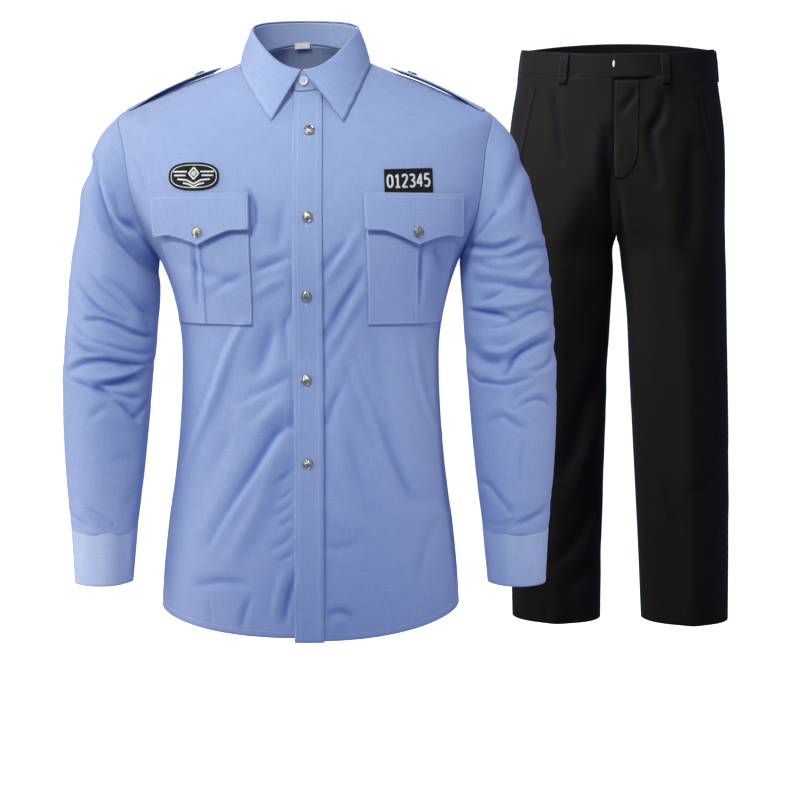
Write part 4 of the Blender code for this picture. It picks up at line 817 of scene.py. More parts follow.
# ---------------------------------------------------------------- pockets and patches
def tape_sheet(name, side, columns, heights, out):
    """A piece set out by tape on the chest; columns run from the inner edge outwards."""
    places = [BODY.by_tape(FRONT_LINE + side * round_, heights[:, number])
              for number, round_ in enumerate(columns)]
    levels, angles = np.moveaxis(np.array(places), 1, 0)
    cloth(name + "_cloth", BODY.cloth(levels.T, angles.T, out), SHIRT, name,
          mirrored=side < 0)


def make_pocket(name):
    side, outer = SIDES[name], POCKET_INNER + POCKET_WIDTH
    before, edge, over, after = POCKET_MIDDLE + np.array(PLEAT_COLUMNS)
    columns = np.concatenate([runs([POCKET_INNER, before], STEP_FRONT), [edge, over],
                              runs([after, outer], STEP_FRONT)])
    past = columns - POCKET_MIDDLE
    pleat = PLEAT_EDGE * np.exp(-np.clip(past, 0, None) / PLEAT_FADE) * (past >= 0)
    rows = runs([POCKET_BOTTOM, POCKET_TOP], STEP_FRONT)
    heights = np.repeat(rows[:, None], len(columns), 1)
    tape_sheet(f"pocket_{name}", side, columns, heights, FACE + POCKET_LIFT + pleat)

    shares = np.linspace(-1, 1, int(FLAP_COLUMNS / COARSE) + 1)
    columns = POCKET_MIDDLE + shares * (POCKET_WIDTH / 2 + FLAP_OVER)
    down = 1 - np.linspace(0, 1, int(FLAP_ROWS / COARSE))[:, None]
    heights = FLAP_TOP - tabled(shares, FLAP_DROPS) * down
    out = 2 * FACE + POCKET_LIFT + PLEAT_STEP + FLAP_STAND * down**FLAP_CURVE
    tape_sheet(f"flap_{name}", side, columns, heights, out)


def make_patch(name, at, size, square, tilt, rows, least):
    """A patch on the chest: a superellipse whose rows keep at least a share of its width."""
    v = np.repeat(np.linspace(-1, 1, rows)[:, None], PATCH_COLUMNS, 1)
    half = np.maximum(1 - np.abs(v)**square, 0.0)**(1 / square)
    u = np.linspace(-1, 1, PATCH_COLUMNS) * np.maximum(half, least)
    x, z = turned(u * size[0] / 2, v * size[1] / 2, tilt)
    cloth(name + "_cloth", front_places(at[0] + x, at[1] + z, FACE)[0], PATCH,
          name + "_patch", wall=FIRM_CLOTH)


# ---------------------------------------------------------------- collar
def fold_ring(angle):
    """The collar's fold line, round the top of the stand."""
    rise = np.where(np.cos(angle) > 0, FOLD_RISE_FRONT, FOLD_RISE_BACK)
    x, y, z = oval(angle, *FOLD_SIDE, *FOLD_FRONT, *FOLD_BACK, 2.0, rise)
    return np.stack([x + lean(z), y, z], -1)


def stand_point(height, angle):
    """The stand's outer face: height 0 at the neck seam, 1 at the fold."""
    foot = BODY.point(np.full(np.shape(angle), BODY.knots[-1]), angle)
    share = np.asarray(height, float)[..., None]
    return foot + (fold_ring(angle) - foot) * share


def lapped(surface, rows, start, end, full_until, flat_from, count, lift):
    """A band whose first end lies over its last: rows of points, lifted where it laps."""
    angles = np.radians(np.concatenate([np.linspace(start, full_until, 8)[:-1],
                                        np.linspace(full_until, end, count)]))
    climb = lift * (1 - smooth((angles - np.radians(full_until))
                               / np.radians(flat_from - full_until)))
    place = grid_of(rows, angles)
    return surface(*place) + normals_of(surface, *place, du=0.02) * climb[:, None]


def make_collar():
    grid = lapped(stand_point, np.linspace(*STAND_ROWS), *STAND_LAP, 130, STAND_LIFT)
    cloth("stand_cloth", grid, SHIRT, "collar_stand", wall=FIRM_CLOTH)
    x = LABEL_AT + np.linspace(LABEL_WIDE / 2, -LABEL_WIDE / 2, 14)
    place = grid_of(np.linspace(*LABEL_ROWS), np.pi - np.arcsin(x / FOLD_SIDE[0]))
    grid = stand_point(*place) - normals_of(stand_point, *place, du=0.02) * STAND_LIFT
    make_leaf()
    cloth("label_cloth", grid, LABEL, "neck_label", wall=0.5)


def make_leaf():
    """The turned-down leaf: over the fold and down onto the body, point to point."""
    places = [BODY.from_front(x + lean(z), z) for x, z in LEAF_EDGE]
    places += [(BODY.below_neck(np.radians(a), lap), np.radians(a)) for a, lap in LEAF_LAPS]
    edge_levels, edge_angles = np.transpose(places)
    steps = np.concatenate([np.linspace(0, 0.2, 24)[:-1], np.linspace(0.2, 1, 60)])
    angles = np.interp(steps, LEAF_KNOTS, edge_angles)
    levels = np.interp(angles, edge_angles, edge_levels)
    up = np.array([0, 0, 1.0])
    halves = []
    for side in (1, -1):
        edge = BODY.cloth(levels, side * angles, LEAF_OUT)
        around = side * np.radians(1.0 + 179.0 * steps)
        fold = stand_point(np.ones(len(steps)), around)
        out = normals_of(stand_point, 0.9 + 0 * steps, around, du=0.02)
        top = fold + up * ROLL_UP[0] - out * ROLL_IN
        lap = STAND_LIFT * (1 - smooth((np.degrees(np.abs(around)) - LAP_FROM) / LAP_OVER))
        roll = fold + up * ROLL_UP[1] + out * (lap + LEAF_WALL + ROLL_CROWN)[:, None]
        rows = [top + (roll - top) * row + up * np.sin(np.pi * row) * ROLL_CROWN
                for row in np.linspace(0, 1, 6)]
        rows += [roll + (edge - roll) * row + out * LEAF_BULGE * np.sin(np.pi * row)
                 for row in np.linspace(0, 1, 24)[1:]]
        halves.append(np.array(rows[::-1]))
    whole = np.concatenate([halves[0], halves[1][:, -2::-1]], 1)
    sinking = (np.clip((FOLD_FRONT[1] - whole[..., 2]) / SHIFT_OVER, 0, 1)
               * (whole[..., 1] < 0))
    whole[..., 0] += LEAF_SHIFT * sinking
    cloth("leaf_cloth", whole, SHIRT, "collar_fall", wall=FIRM_CLOTH)


# ---------------------------------------------------------------- sleeves, cuffs and straps
def sleeve_shift(name, height):
    return tabled(height, SLEEVE_SHIFT[name][::-1])


def crosswise(outer, inner, angle):
    """A coordinate of a sleeve's section, from its outer to its inner side and back."""
    return (outer + inner) / 2 + (outer - inner) / 2 * np.cos(angle)


class Sleeve:
    """A sleeve's outer surface, +X outwards, by share of its length and angle (0 is out)."""

    def __init__(self, name):
        self.name, self.side = name, SIDES[name]
        self.rings = np.array(SLEEVE_RINGS, float)
        self.rings[:, 0:3:2] += sleeve_shift(name, self.rings[:, 1:2]) * self.side
        self.knots = run_of((self.rings[:, :2] + self.rings[:, 2:4]) / 2)
        self.knots /= self.knots[-1]
        self.turns = np.radians(np.arange(0, 361, 10))
        self.seam = np.array([self.armhole(angle) for angle in self.turns])
        self.seam[:, 0] += SLEEVE_CLEAR

    def armhole(self, angle):
        """A point of the armhole on the body, angle 0 at the top and 90 in front."""
        fine = BODY.fine[::4]
        y = -(ARMHOLE_DEPTH - SEAM / 2) * np.sin(angle)
        z = ARMHOLE_MIDDLE + (ARMHOLE_HALF - SEAM / 2) * np.cos(angle)
        y = y if abs(y) > 0.01 else -0.01
        around = self.side * np.array([BODY.angle_of_depth(level, y) for level in fine])
        level = np.interp(z, BODY.point(fine, around)[:, 2], fine)
        return BODY.point(level, np.interp(level, fine, around)) * (self.side, 1, 1)

    def section(self, share, angle):
        ring = spline(share, self.knots, self.rings)
        outer_x, outer_z, inner_x, inner_z, depth, y = np.moveaxis(ring, -1, 0)
        return np.stack([crosswise(outer_x, inner_x, angle), y - depth * np.sin(angle),
                         crosswise(outer_z, inner_z, angle)], -1)

    def point(self, share, angle):
        """Sections morph out of the armhole's own line over the first quarter."""
        turn = np.mod(angle, 2 * np.pi)
        seam = np.stack([np.interp(turn, self.turns, line) for line in self.seam.T], -1)
        start = self.section(np.zeros(np.shape(share)), angle)
        fade = np.clip(1 - np.asarray(share) / MORPH_OVER, 0, 1) ** 2
        return self.section(share, angle) + (seam - start) * fade[..., None]

    def cloth(self, share, angle):
        """A point with all the folds; the back has the front's creases, moved and softer."""
        point = self.point(share, angle)
        normal = normals_of(self.point, share, angle, du=0.001, dv=0.02)
        flip = (self.side, 1, 1)
        facing = np.clip(-1.8 * normal[..., 1] + 0.2, 0, 1)
        edge = smooth(share / SLEEVE_CALM[0]) * smooth((1 - share) / SLEEVE_CALM[1])
        strokes = LEFT_SLEEVE_CREASES if self.side < 0 else RIGHT_SLEEVE_CREASES
        front = in_front(normal, SLEEVE_REACH)
        x, y = seen(point * flip)
        small = (front * creases(x, y, strokes) + (1 - front) * BACK_SHARE
                 * creases(x + BACK_TURN[0] * self.side, y + BACK_TURN[1], strokes))
        lift = edge * (facing * ridge(point * flip, SLEEVE_FOLDS[self.name]) + small)
        return (point + normal * lift[..., None]) * flip


def make_sleeve(name):
    side, count = SIDES[name], int(SLEEVE_ROUND / STEP_FRONT)
    shares = np.concatenate([np.linspace(0, CAP_SHARE, int(CAP_ROWS / COARSE))[:-1],
                             np.linspace(CAP_SHARE, 1, int(SLEEVE_LONG / STEP_FRONT))])
    angles = np.radians(np.arange(count) * 360 / count)
    grid = ARMS[name].cloth(*grid_of(shares[::-1], angles))
    hand, arm = (rim + (rim.mean(0) - rim) * TURNED_IN + np.array(move) * (side, 1, 1)
                 for rim, move in ((grid[0], CUFF_TURNING), (grid[-1], ARMHOLE_TURNING)))
    under = grid[0] + (0, 0, CUFF_TURNING[2] / 2)
    grid = np.concatenate([[hand, under], grid, [arm]])
    cloth(f"sleeve_{name}_cloth", grid, SHIRT, f"sleeve_{name}", closed=True,
          mirrored=side > 0)


def cuff_point(height, angle):
    """The left cuff's outer face: height 0 at the hand, 1 at the sleeve."""
    low, high = np.array(CUFF_END), np.array(CUFF_TOP)
    ring = low + (high - low) * np.asarray(height, float)[..., None]
    outer, inner, z, depth, y = np.moveaxis(ring, -1, 0)
    x = crosswise(outer, inner, angle)
    return np.stack([x, y + depth * np.sin(angle), z + 0 * x], -1)


def cuff_hang(name):
    """How a cuff's points are mirrored and moved to hang from their sleeve."""
    return np.array([SIDES[name], 1, 1]), np.array([sleeve_shift(name, CUFF_TOP[2]), 0, 0])


def make_cuff(name):
    """Barrel cuff, lapped and buttoned at the outer back."""
    full = CUFF_START + CUFF_LAP + CUFF_EASE[0]
    grid = lapped(cuff_point, np.linspace(0, 1, 24), CUFF_START, CUFF_START + 360 + CUFF_LAP,
                  full, full + CUFF_EASE[1], 100, FACE)
    flip, hang = cuff_hang(name)
    grid = grid * flip + hang
    bulge = creases(*seen(grid), CUFF_CREASES) * (grid[..., 1] < CUFF_TOP[4])
    grid[..., 1] -= bulge * smooth((CUFF_TOP[4] - grid[..., 1]) / BULGE_OVER)
    # The cuff is woven in the lighter copy of the shirt's cloth, which is painted light.
    cloth(f"cuff_{name}_cloth", grid, CUFF_PAINTED_LIGHT, f"cuff_{name}", wall=FIRM_CLOTH,
          mirrored=SIDES[name] < 0)


def strap_rise(share):
    """How far the strap stands off the shoulder, from its sewn end to its point."""
    return smooth(share / STRAP_RISES) - STRAP_DIP * smooth((share - STRAP_DIPS)
                                                            / (1 - STRAP_DIPS))


def strap_place(side, far, y, out):
    """A place over the shoulder ridge, this far from the middle."""
    top = BODY.fine[BODY.fine > BODY.level(SHOULDER_TIP)]
    level = np.interp(-far, -BODY.ring(top)[:, 0], top)
    angle = side * BODY.angle_of_depth(level, y if abs(y) > 0.02 else -0.02)
    return BODY.point(level, angle) + normals_of(BODY.point, level, angle) * out


def make_epaulette(name):
    """A strap on the shoulder ridge, pointed at the neck end, bowed up off the cloth."""
    rows = []
    for share in np.linspace(0, 1, int(44 / COARSE)):
        far = EPAULETTE_OUT + (EPAULETTE_IN - EPAULETTE_OUT) * share
        half = EPAULETTE_HALF * tabled(share, STRAP_WIDTHS) * (1 - STRAP_TAPER * share)
        lift = FACE + STRAP_GAP + EPAULETTE_LIFT * strap_rise(share)
        row = np.array([strap_place(SIDES[name], far, y, lift)
                        for y in np.linspace(-1, 1, 19) * half])
        row[:, 2] += (row[9, 2] - row[:, 2]) * STRAP_FLAT * smooth(share / FLAT_FROM)
        rows.append(row)
    cloth(f"epaulette_{name}_cloth", rows, SHIRT, f"epaulette_{name}", wall=FIRM_CLOTH,
          mirrored=SIDES[name] < 0)


# ---------------------------------------------------------------- trousers
def to_world(points):
    """From the trousers' own frame to their place behind the shirt."""
    x, y, z = np.moveaxis(np.asarray(points), -1, 0)
    x, y = turned(x, y, TROUSERS_TURN)
    return np.stack([TROUSERS_AT[0] + x, TROUSERS_AT[1] + y, z], -1)


class Trousers:
    """One side of the trousers, in its own frame: front at -Y, middle of the body at x 0."""

    def __init__(self, name):
        self.side = SIDES[name]
        rings = list(HIP_RINGS) + [(z, z, z, *rest) for z, *rest in LEG_RINGS[name]]
        self.rings = np.array(rings[::-1], float)
        self.knots = self.rings[:, 0]
        self.rings[:, 3:5] *= LEFT_NARROW if name == "left" else 1.0
        self.crease = np.radians(CREASE_AT[name]) * self.side

    def ring(self, height):
        return spline(height, self.knots, self.rings)

    def point(self, height, angle):
        """Angle 0 is the front of the leg, 90 its outer side, -90 its inner side."""
        side_z, front_z, back_z, middle, wide, front, back = np.moveaxis(
            self.ring(height), -1, 0)
        x, y, z = oval(angle, wide, side_z, front, front_z, back, back_z, TROUSER_SQUARE)
        x = middle + x
        pressed = CREASE * smooth((CREASE_TOP - np.asarray(height)) / CREASE_OVER)
        for at, way in ((self.crease, -1), (np.pi, 1)):
            off = np.angle(np.exp(1j * (np.asarray(angle) - at)))
            y = y + way * pressed * np.exp(-(off / np.radians(CREASE_WIDTH)) ** 2)
        z = z - self.side * x * WAIST_ROLL * smooth((z - ROLL_LOW) / ROLL_OVER)
        return np.stack([x, y, z], -1)

    def cloth(self, height, angle, out=0.0):
        """World point, with the pleat and the creases, moved out by some millimetres."""
        point = self.point(height, angle)
        normal = normals_of(self.point, height, angle)
        x, y, z = np.moveaxis(point, -1, 0)
        near = x - PLEAT_AT - PLEAT_LEAN * smooth((10 - z) / 140)
        tuck = np.exp(-(near / np.where(near > 0, *PLEAT_SLOPES)) ** 2)
        fade = (np.clip(1 - (PLEAT_TOP - z) / PLEAT_LONG, 0, 1)
                * smooth(PLEAT_TOP - 0.8 - z) * (y < PLEAT_FRONT))
        flip = (self.side, 1, 1)
        front = in_front(normal)
        small = (front * creases(*seen(to_world(point * flip)), TROUSER_CREASES)
                 + (1 - front) * creases(x * self.side, z, TROUSER_BACK_CREASES))
        lift = out + PLEAT_HIGH * tuck * fade + small * smooth((WAIST_CALM - z) / 20)
        return to_world((point + normal * lift[..., None]) * flip)

    def inner_angle(self, height, back=False):
        """Angle where this side meets the other at the middle, or its inner side."""
        ring = self.ring(height)
        share = min(1.0, (ring[3] + (SEAT_OVERLAP if back else -SEAM / 2)) / ring[4])
        turn = np.arcsin(power(share, TROUSER_SQUARE / 2))
        return np.pi + turn if back else -turn

    def front_angle(self, x, height):
        """Angle on the front where this side is x from the middle."""
        ring = self.ring(float(height))
        share = np.clip((x - ring[3]) / ring[4], -1, 1)
        return float(np.arcsin(power(share, TROUSER_SQUARE / 2)))

    def patch(self, name, places, out, node):
        """A piece laid on the front, from rows of (x, height) places."""
        heights = np.array(places, float)[..., 1]
        angles = np.array([[self.front_angle(*place) for place in row] for row in places])
        cloth(name + "_cloth", self.cloth(heights, angles, out), TROUSERS, node,
              wall=HEAVY_CLOTH, mirrored=self.side < 0)


def make_leg(name):
    half, gap = LEGS[name], SIDE_GAP
    heights = runs([half.knots[0], *TROUSER_LEVELS[::-1]], STEP_TROUSERS)
    for part, wide in LEG_ROUND.items():
        count = int(wide / STEP_TROUSERS)
        angles = []
        for height in heights:
            inner = half.inner_angle(height, back=part == "back")
            if inner <= -np.pi / 2 + 1e-6 or inner >= 1.5 * np.pi - 1e-6:
                inner += gap if part == "front" else -gap
            ends = (inner, np.pi / 2 - gap) if part == "front" else (np.pi / 2 + gap, inner)
            angles.append(np.linspace(*ends, count))
        grid = half.cloth(np.repeat(heights[:, None], count, 1), np.array(angles))
        piece = f"trouser_{part}_{name}"
        cloth(piece + "_cloth", grid, TROUSERS, piece, wall=HEAVY_CLOTH,
              mirrored=half.side < 0)


def make_slant(name):
    """The edge of a slanted side pocket."""
    (near, high), (far, low) = POCKET_SLANT
    rows = [[(far + (near - far) * t + x, low + (high - low) * t)
             for x in np.linspace(*SLANT_EDGE, 5)] for t in np.linspace(0, 1, 50)]
    LEGS[name].patch(f"slant_{name}", rows, LAY + TROUSER_WALL * 0.4, f"side_pocket_{name}")


def make_fly():
    """The fly facing on the left front, rounded at its foot."""
    rows = []
    for t in np.linspace(0, 1, 44):
        curve = (1 - (1 - min(1.0, t / FLY_CURVE)) ** 2) ** 0.5
        wide = FLY_WIDE * (FLY_FOOT + FLY_SWELL * curve)
        rows.append([(x, FLY_END + (FLY_TOP - FLY_END) * t)
                     for x in np.linspace(FLY_INNER, wide, 14)])
    sink = np.linspace(0, 1, 14)**6 * FLY_SINK
    LEGS["left"].patch("fly", rows, LAY + TROUSER_WALL * 0.45 - sink, "fly_facing")


def waist_point(height, angle):
    """The waistband's outer face in the trousers' frame: 0 at its seam, 1 at the top."""
    side_z, front_z, back_z, _, wide, front, back = LEGS["right"].ring(HIP_RINGS[0][0])
    height = np.asarray(height, float)
    inward = -BAND_LEAN * height
    x, y, z = oval(angle, wide + inward, side_z, front + inward, front_z, back + inward,
                   back_z, TROUSER_SQUARE)
    x = np.where(x > 0, x * LEFT_NARROW, x)
    return np.stack([x, y, z + SEAM + height * WAISTBAND_HIGH - x * WAIST_ROLL], -1)


def belt_point(height, angle, out):
    """World point on the waistband's face, or on the trousers' own below its seam."""
    if height < 0:
        half = LEGS["left"] if angle > 0 else LEGS["right"]
        down = HIP_RINGS[0][0] + height * WAISTBAND_HIGH
        return half.cloth(np.array(down), np.array(abs(angle)), out)
    normal = normals_of(waist_point, height, angle, du=0.02)
    return to_world(waist_point(height, angle) + normal * out)


def make_loop(name, angle):
    """A belt loop: a strap over the waistband, close at both ends, standing off between."""
    wide = LOOP_WIDE / 2 / WAIST_DEEP
    stand = LOOP_STAND * (LOOP_FLAT if "side" in name else 1)
    rows = []
    for height in runs(LOOP_KNOTS, 0.07):
        off = (LAY + TROUSER_WALL
               + np.interp(height, LOOP_KNOTS, (0.2, 0.4, stand, stand * 1.3, stand, 0.5, 0.2)))
        rows.append([belt_point(height, angle + wide * across,
                                off + LOOP_CROWN * np.cos(np.pi / 2 * across))
                     for across in np.linspace(-1, 1, 7)])
    cloth(f"loop_{name}_cloth", rows, TROUSERS, f"belt_loop_{name}", wall=FIRM_CLOTH)


def make_waist():
    grid = lapped(waist_point, np.linspace(-0.06, 1, 12), *WAIST_LAP, 220, WAIST_LIFT)
    cloth("waistband_cloth", to_world(grid), TROUSERS, "waistband", wall=1.4)
    for name, degrees in LOOP_ANGLES.items():
        make_loop(name, np.radians(degrees))


def make_hook():
    """The flat metal hook at the front of the waistband."""
    at = np.radians(HOOK_AT)
    facing = normals_of(waist_point, 0.5, at, du=0.02)
    low, high = HOOK_HEIGHTS
    rows = []
    for height in np.linspace(low, high, 12):
        narrow = 1 - HOOK_WAIST * smooth(abs(height - (low + high) / 2) / 0.09)
        rows.append([waist_point(height, at + np.radians(step * narrow)) + facing
                     * (HOOK_LIFT + HOOK_CROWN * np.cos(np.pi / 2 * step / 1.2))
                     for step in np.linspace(-HOOK_HALF, HOOK_HALF, 9)])
    cloth("hook_metal", to_world(rows), STEEL, "waist_hook", wall=0.9)


# ---------------------------------------------------------------- materials
def feed(tree, socket, value):
    """Links another node's output to the socket, or sets the socket to a value."""
    if hasattr(value, "is_linked"):
        tree.links.new(value, socket)
    else:
        socket.default_value = value


def add(tree, kind, sockets, **settings):
    """A shader node of a kind, with its settings made and its sockets fed."""
    node = tree.nodes.new("ShaderNode" + kind)
    for name, value in settings.items():
        setattr(node, name, value)
    for socket, value in sockets.items():
        feed(tree, node.inputs[socket], value)
    return node


def maths(tree, operation, *values):
    """The output of a math node on numbers or outputs."""
    return add(tree, "Math", dict(enumerate(values)), operation=operation).outputs[0]


def blend(tree, share, low, high):
    """A colour between two, by a share."""
    return add(tree, "Mix", {"Factor": share, 6: (*low, 1.0), 7: (*high, 1.0)},
               data_type="RGBA", clamp_factor=True).outputs[2]


def noise(tree, place, detail, stretch=None, **sockets):
    """The output of a noise over places, stretched along the grain where asked."""
    if stretch:
        place = add(tree, "Mapping", {"Vector": place, "Scale": stretch}).outputs[0]
    return add(tree, "TexNoise", {"Vector": place, "Detail": detail, "Scale": 1.0, **sockets}
               ).outputs[0]


def relief(tree, shader, height, strength, distance):
    """Bump on a shader, from heights."""
    bump = add(tree, "Bump", {"Height": height, "Strength": strength, "Distance": distance})
    feed(tree, shader.inputs["Normal"], bump.outputs[0])


def shader_of(name, **sockets):
    """A material, its node tree and its shader with some sockets set."""
    material = bpy.data.materials.new(name)
    material.use_nodes = True
    shader = material.node_tree.nodes["Principled BSDF"]
    for socket, value in sockets.items():
        shader.inputs[socket.replace("_", " ")].default_value = value
    return material, material.node_tree, shader


def woven(name, colour, painted_shade, pitch, mottle, rough, sheen, bump, twill=False, gloss=0.2):
    """Woven cloth: threads of a pitch in metres along the grain, darkened with painted shade in
    its hollows.
    """
    material, tree, shader = shader_of(name, Roughness=rough, Sheen_Weight=sheen,
                                       Specular_IOR_Level=gloss)
    grain = add(tree, "UVMap", {}, uv_map="grain").outputs["UV"]
    place = add(tree, "SeparateXYZ", {0: grain})
    u, v = (maths(tree, "MULTIPLY", place.outputs[axis], 2 * np.pi / pitch) for axis in "XY")
    if twill:
        threads = maths(tree, "SINE", maths(tree, "ADD", u, v))
    else:
        threads = maths(tree, "MULTIPLY", maths(tree, "SINE", u), maths(tree, "SINE", v))
    blotch = noise(tree, grain, 3.0, Scale=mottle, Roughness=0.6)
    slub = noise(tree, grain, 2.0, (60.0, 900.0, 1.0))
    streaks = maths(tree, "ADD", noise(tree, grain, 1.0, (420.0, 45.0, 1.0)),
                    noise(tree, grain, 1.0, (55.0, 460.0, 1.0)))
    light = 0.90 - UNEVEN[3]
    for part, share in zip((blotch, slub, threads, streaks), UNEVEN):
        light = maths(tree, "MULTIPLY_ADD", part, share, light)
    # Painted shade: the colour goes over to the darker one where the cloth lies deep in a fold.
    hollow = add(tree, "Attribute", {}, attribute_name="hollow").outputs["Fac"]
    base = add(tree, "VectorMath", {0: blend(tree, hollow, colour, painted_shade), "Scale": light},
               operation="SCALE")
    feed(tree, shader.inputs["Base Color"], base.outputs[0])
    relief(tree, shader, maths(tree, "MULTIPLY_ADD", slub, 2.0, threads), bump, 0.0002)
    return material


def plain(name, colour, rough, metal=0.0, coat=0.0, grain=0.0, size=400.0):
    """Moulded or struck stuff: a colour with a little uneven gloss and relief."""
    material, tree, shader = shader_of(name, Roughness=rough, Metallic=metal,
                                       Coat_Weight=coat)
    uneven = noise(tree, add(tree, "TexCoord", {}).outputs["Object"], 3.0, Scale=size)
    dark = [value * 0.86 for value in colour]
    feed(tree, shader.inputs["Base Color"], blend(tree, uneven, dark, colour))
    feed(tree, shader.inputs["Roughness"],
         maths(tree, "MULTIPLY_ADD", uneven, 0.16, rough - 0.08))
    if grain:
        relief(tree, shader, uneven, grain, 0.0003)
    return material


# ---------------------------------------------------------------- pieces
def blurred(values, axis, **edges):
    """A grid's values blurred along an axis; edges says how it goes on past its ends."""
    pad = [(0, 0)] * values.ndim
    pad[axis] = (HOLLOW_REACH, HOLLOW_REACH)
    wide = np.pad(values, pad, **edges)
    kernel = np.hanning(2 * HOLLOW_REACH + 3)[1:-1]
    return sum(weight * np.take(wide, np.arange(values.shape[axis]) + i, axis=axis)
               for i, weight in enumerate(kernel / kernel.sum()))


def hollows(points, closed):
    """How deep each point of a cloth lies in a fold, 0 to 1, by its blurred neighbours."""
    if min(points.shape[:2]) <= HOLLOW_REACH + 1:
        return np.zeros(points.shape[:2])
    ends = {"mode": "reflect", "reflect_type": "odd"}
    soft = blurred(blurred(points, 1, **({"mode": "wrap"} if closed else ends)), 0, **ends)
    if closed:
        round_ = np.roll(points, -1, 1) - np.roll(points, 1, 1)
    else:
        round_ = np.gradient(points, axis=1)
    normal = unit(np.cross(round_, np.gradient(points, axis=0)))
    return np.clip(((soft - points) * normal).sum(-1) / HOLLOW_DEPTH, 0, 1)


def finished(name, mesh, stuff, node=None):
    """The mesh as a piece that rides on the set and stands for its solid."""
    material, slot = stuff
    mesh.materials.append(material)
    obj = bpy.data.objects.new(name, mesh)
    bpy.context.scene.collection.objects.link(obj)
    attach(obj, "root")
    if node:
        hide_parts(node)
    return obj


def cloth(name, points, stuff, node, wall=CLOTH, closed=False, mirrored=False):
    """A piece of cloth from a grid of points in mm: rows upwards, columns facing out."""
    points = np.array(points, float)[:, ::-1 if mirrored else 1]
    rows, columns = points.shape[:2]
    number = np.arange(rows * columns).reshape(rows, columns)
    around = points
    if closed:
        around, number = (np.concatenate([grid, grid[:, :1]], 1) for grid in (points, number))
    u = run_of(np.swapaxes(around, 0, 1)).T
    u = u - u[:, u.shape[1] // 2][:, None]
    along = np.linalg.norm(np.diff(around, axis=0), axis=2).mean(1)
    v = np.concatenate([[0], np.cumsum(along)])[:, None] + 0 * u

    def corners(values):
        return np.stack([values[:-1, :-1], values[:-1, 1:], values[1:, 1:], values[1:, :-1]],
                        -1)
    mesh = bpy.data.meshes.new(name)
    mesh.from_pydata((points.reshape(-1, 3) * MM).tolist(), [],
                     corners(number).reshape(-1, 4).tolist())
    mesh.shade_smooth()
    uv = np.stack([corners(u), corners(v)], -1).reshape(-1) * MM
    mesh.uv_layers.new(name="grain").data.foreach_set("uv", uv)
    # How deep each point lies in a fold, for the painted shade of the woven materials.
    deep = mesh.attributes.new("hollow", "FLOAT", "POINT")
    deep.data.foreach_set("value", hollows(points, closed).ravel())
    GRIDS[name] = points
    solid = finished(name, mesh, stuff, node).modifiers.new("wall", "SOLIDIFY")
    solid.thickness = wall * MM
    solid.offset = -1.0


def solid_piece(name, verts, faces, stuff, node=None, smooth_=True):
    mesh = bpy.data.meshes.new(name)
    mesh.from_pydata((np.asarray(verts) * MM).tolist(), [], faces)
    if smooth_:
        mesh.shade_smooth()
    finished(name, mesh, stuff, node)


# ---------------------------------------------------------------- buttons
def lathe(profile, sides, radius=1.0, ripple=None):
    """A turned form round +Z from (share of its radius, height) pairs, as vertices, faces."""
    turns = np.linspace(0, 2 * np.pi, sides, endpoint=False)
    verts = np.concatenate([
        np.stack([radius * share * np.cos(turns), radius * share * np.sin(turns),
                  height + (ripple(radius * share, turns) if ripple else 0 * turns)], -1)
        for share, height in profile])
    faces = []
    for row in range(len(profile) - 1):
        low, high = row * sides, (row + 1) * sides
        for i in range(sides):
            j = (i + 1) % sides
            faces.append((low + i, low + j, high + j, high + i))
    last = (len(profile) - 1) * sides
    return verts, faces + [tuple(range(sides))[::-1], tuple(range(last, last + sides))]


def placed(verts, place, facing):
    """Vertices made round +Z, moved to a place and turned to face along a line."""
    turn = np.array(Vector(facing).to_track_quat("Z", "Y").to_matrix())
    return np.asarray(verts) @ turn.T + np.asarray(place)


def metal_button(name, place, facing, node):
    """A struck metal button: a rolled rim round a shallow dome with a star of rays."""
    def rays(radius, turns):
        share = np.clip(1 - abs(radius / (METAL_BUTTON / 2) - RAYS_AT) / RAYS_WIDE, 0, 1)
        return RAYS_HIGH * share * np.cos(RAYS * turns)
    verts, faces = lathe(METAL_PROFILE, 72, METAL_BUTTON / 2, rays)
    solid_piece(name, placed(verts, place, facing), faces, METAL, node)


def plastic_button(name, place, facing, node):
    """A white four-hole shirt button: a rounded rim round a dish, and its four holes as dark
    discs of painted shade.
    """
    verts, faces = lathe(PLASTIC_PROFILE, 48, PLASTIC_BUTTON / 2)
    solid_piece(name, placed(verts, place, facing), faces, PLASTIC, node)
    # Its holes: dark discs of painted shade just over the dish.
    holes, hole_faces = [], []
    for dx, dy in ((1, 1), (1, -1), (-1, 1), (-1, -1)):
        part, part_faces = lathe(HOLE_PROFILE, 14)
        hole_faces += [tuple(i + len(part) * len(holes) for i in face) for face in part_faces]
        holes.append(part + (dx * HOLE_APART, dy * HOLE_APART, 0))
    solid_piece(name + "_holes", placed(np.concatenate(holes), place, facing), hole_faces,
                PAINTED_HOLE_SHADE, smooth_=False)


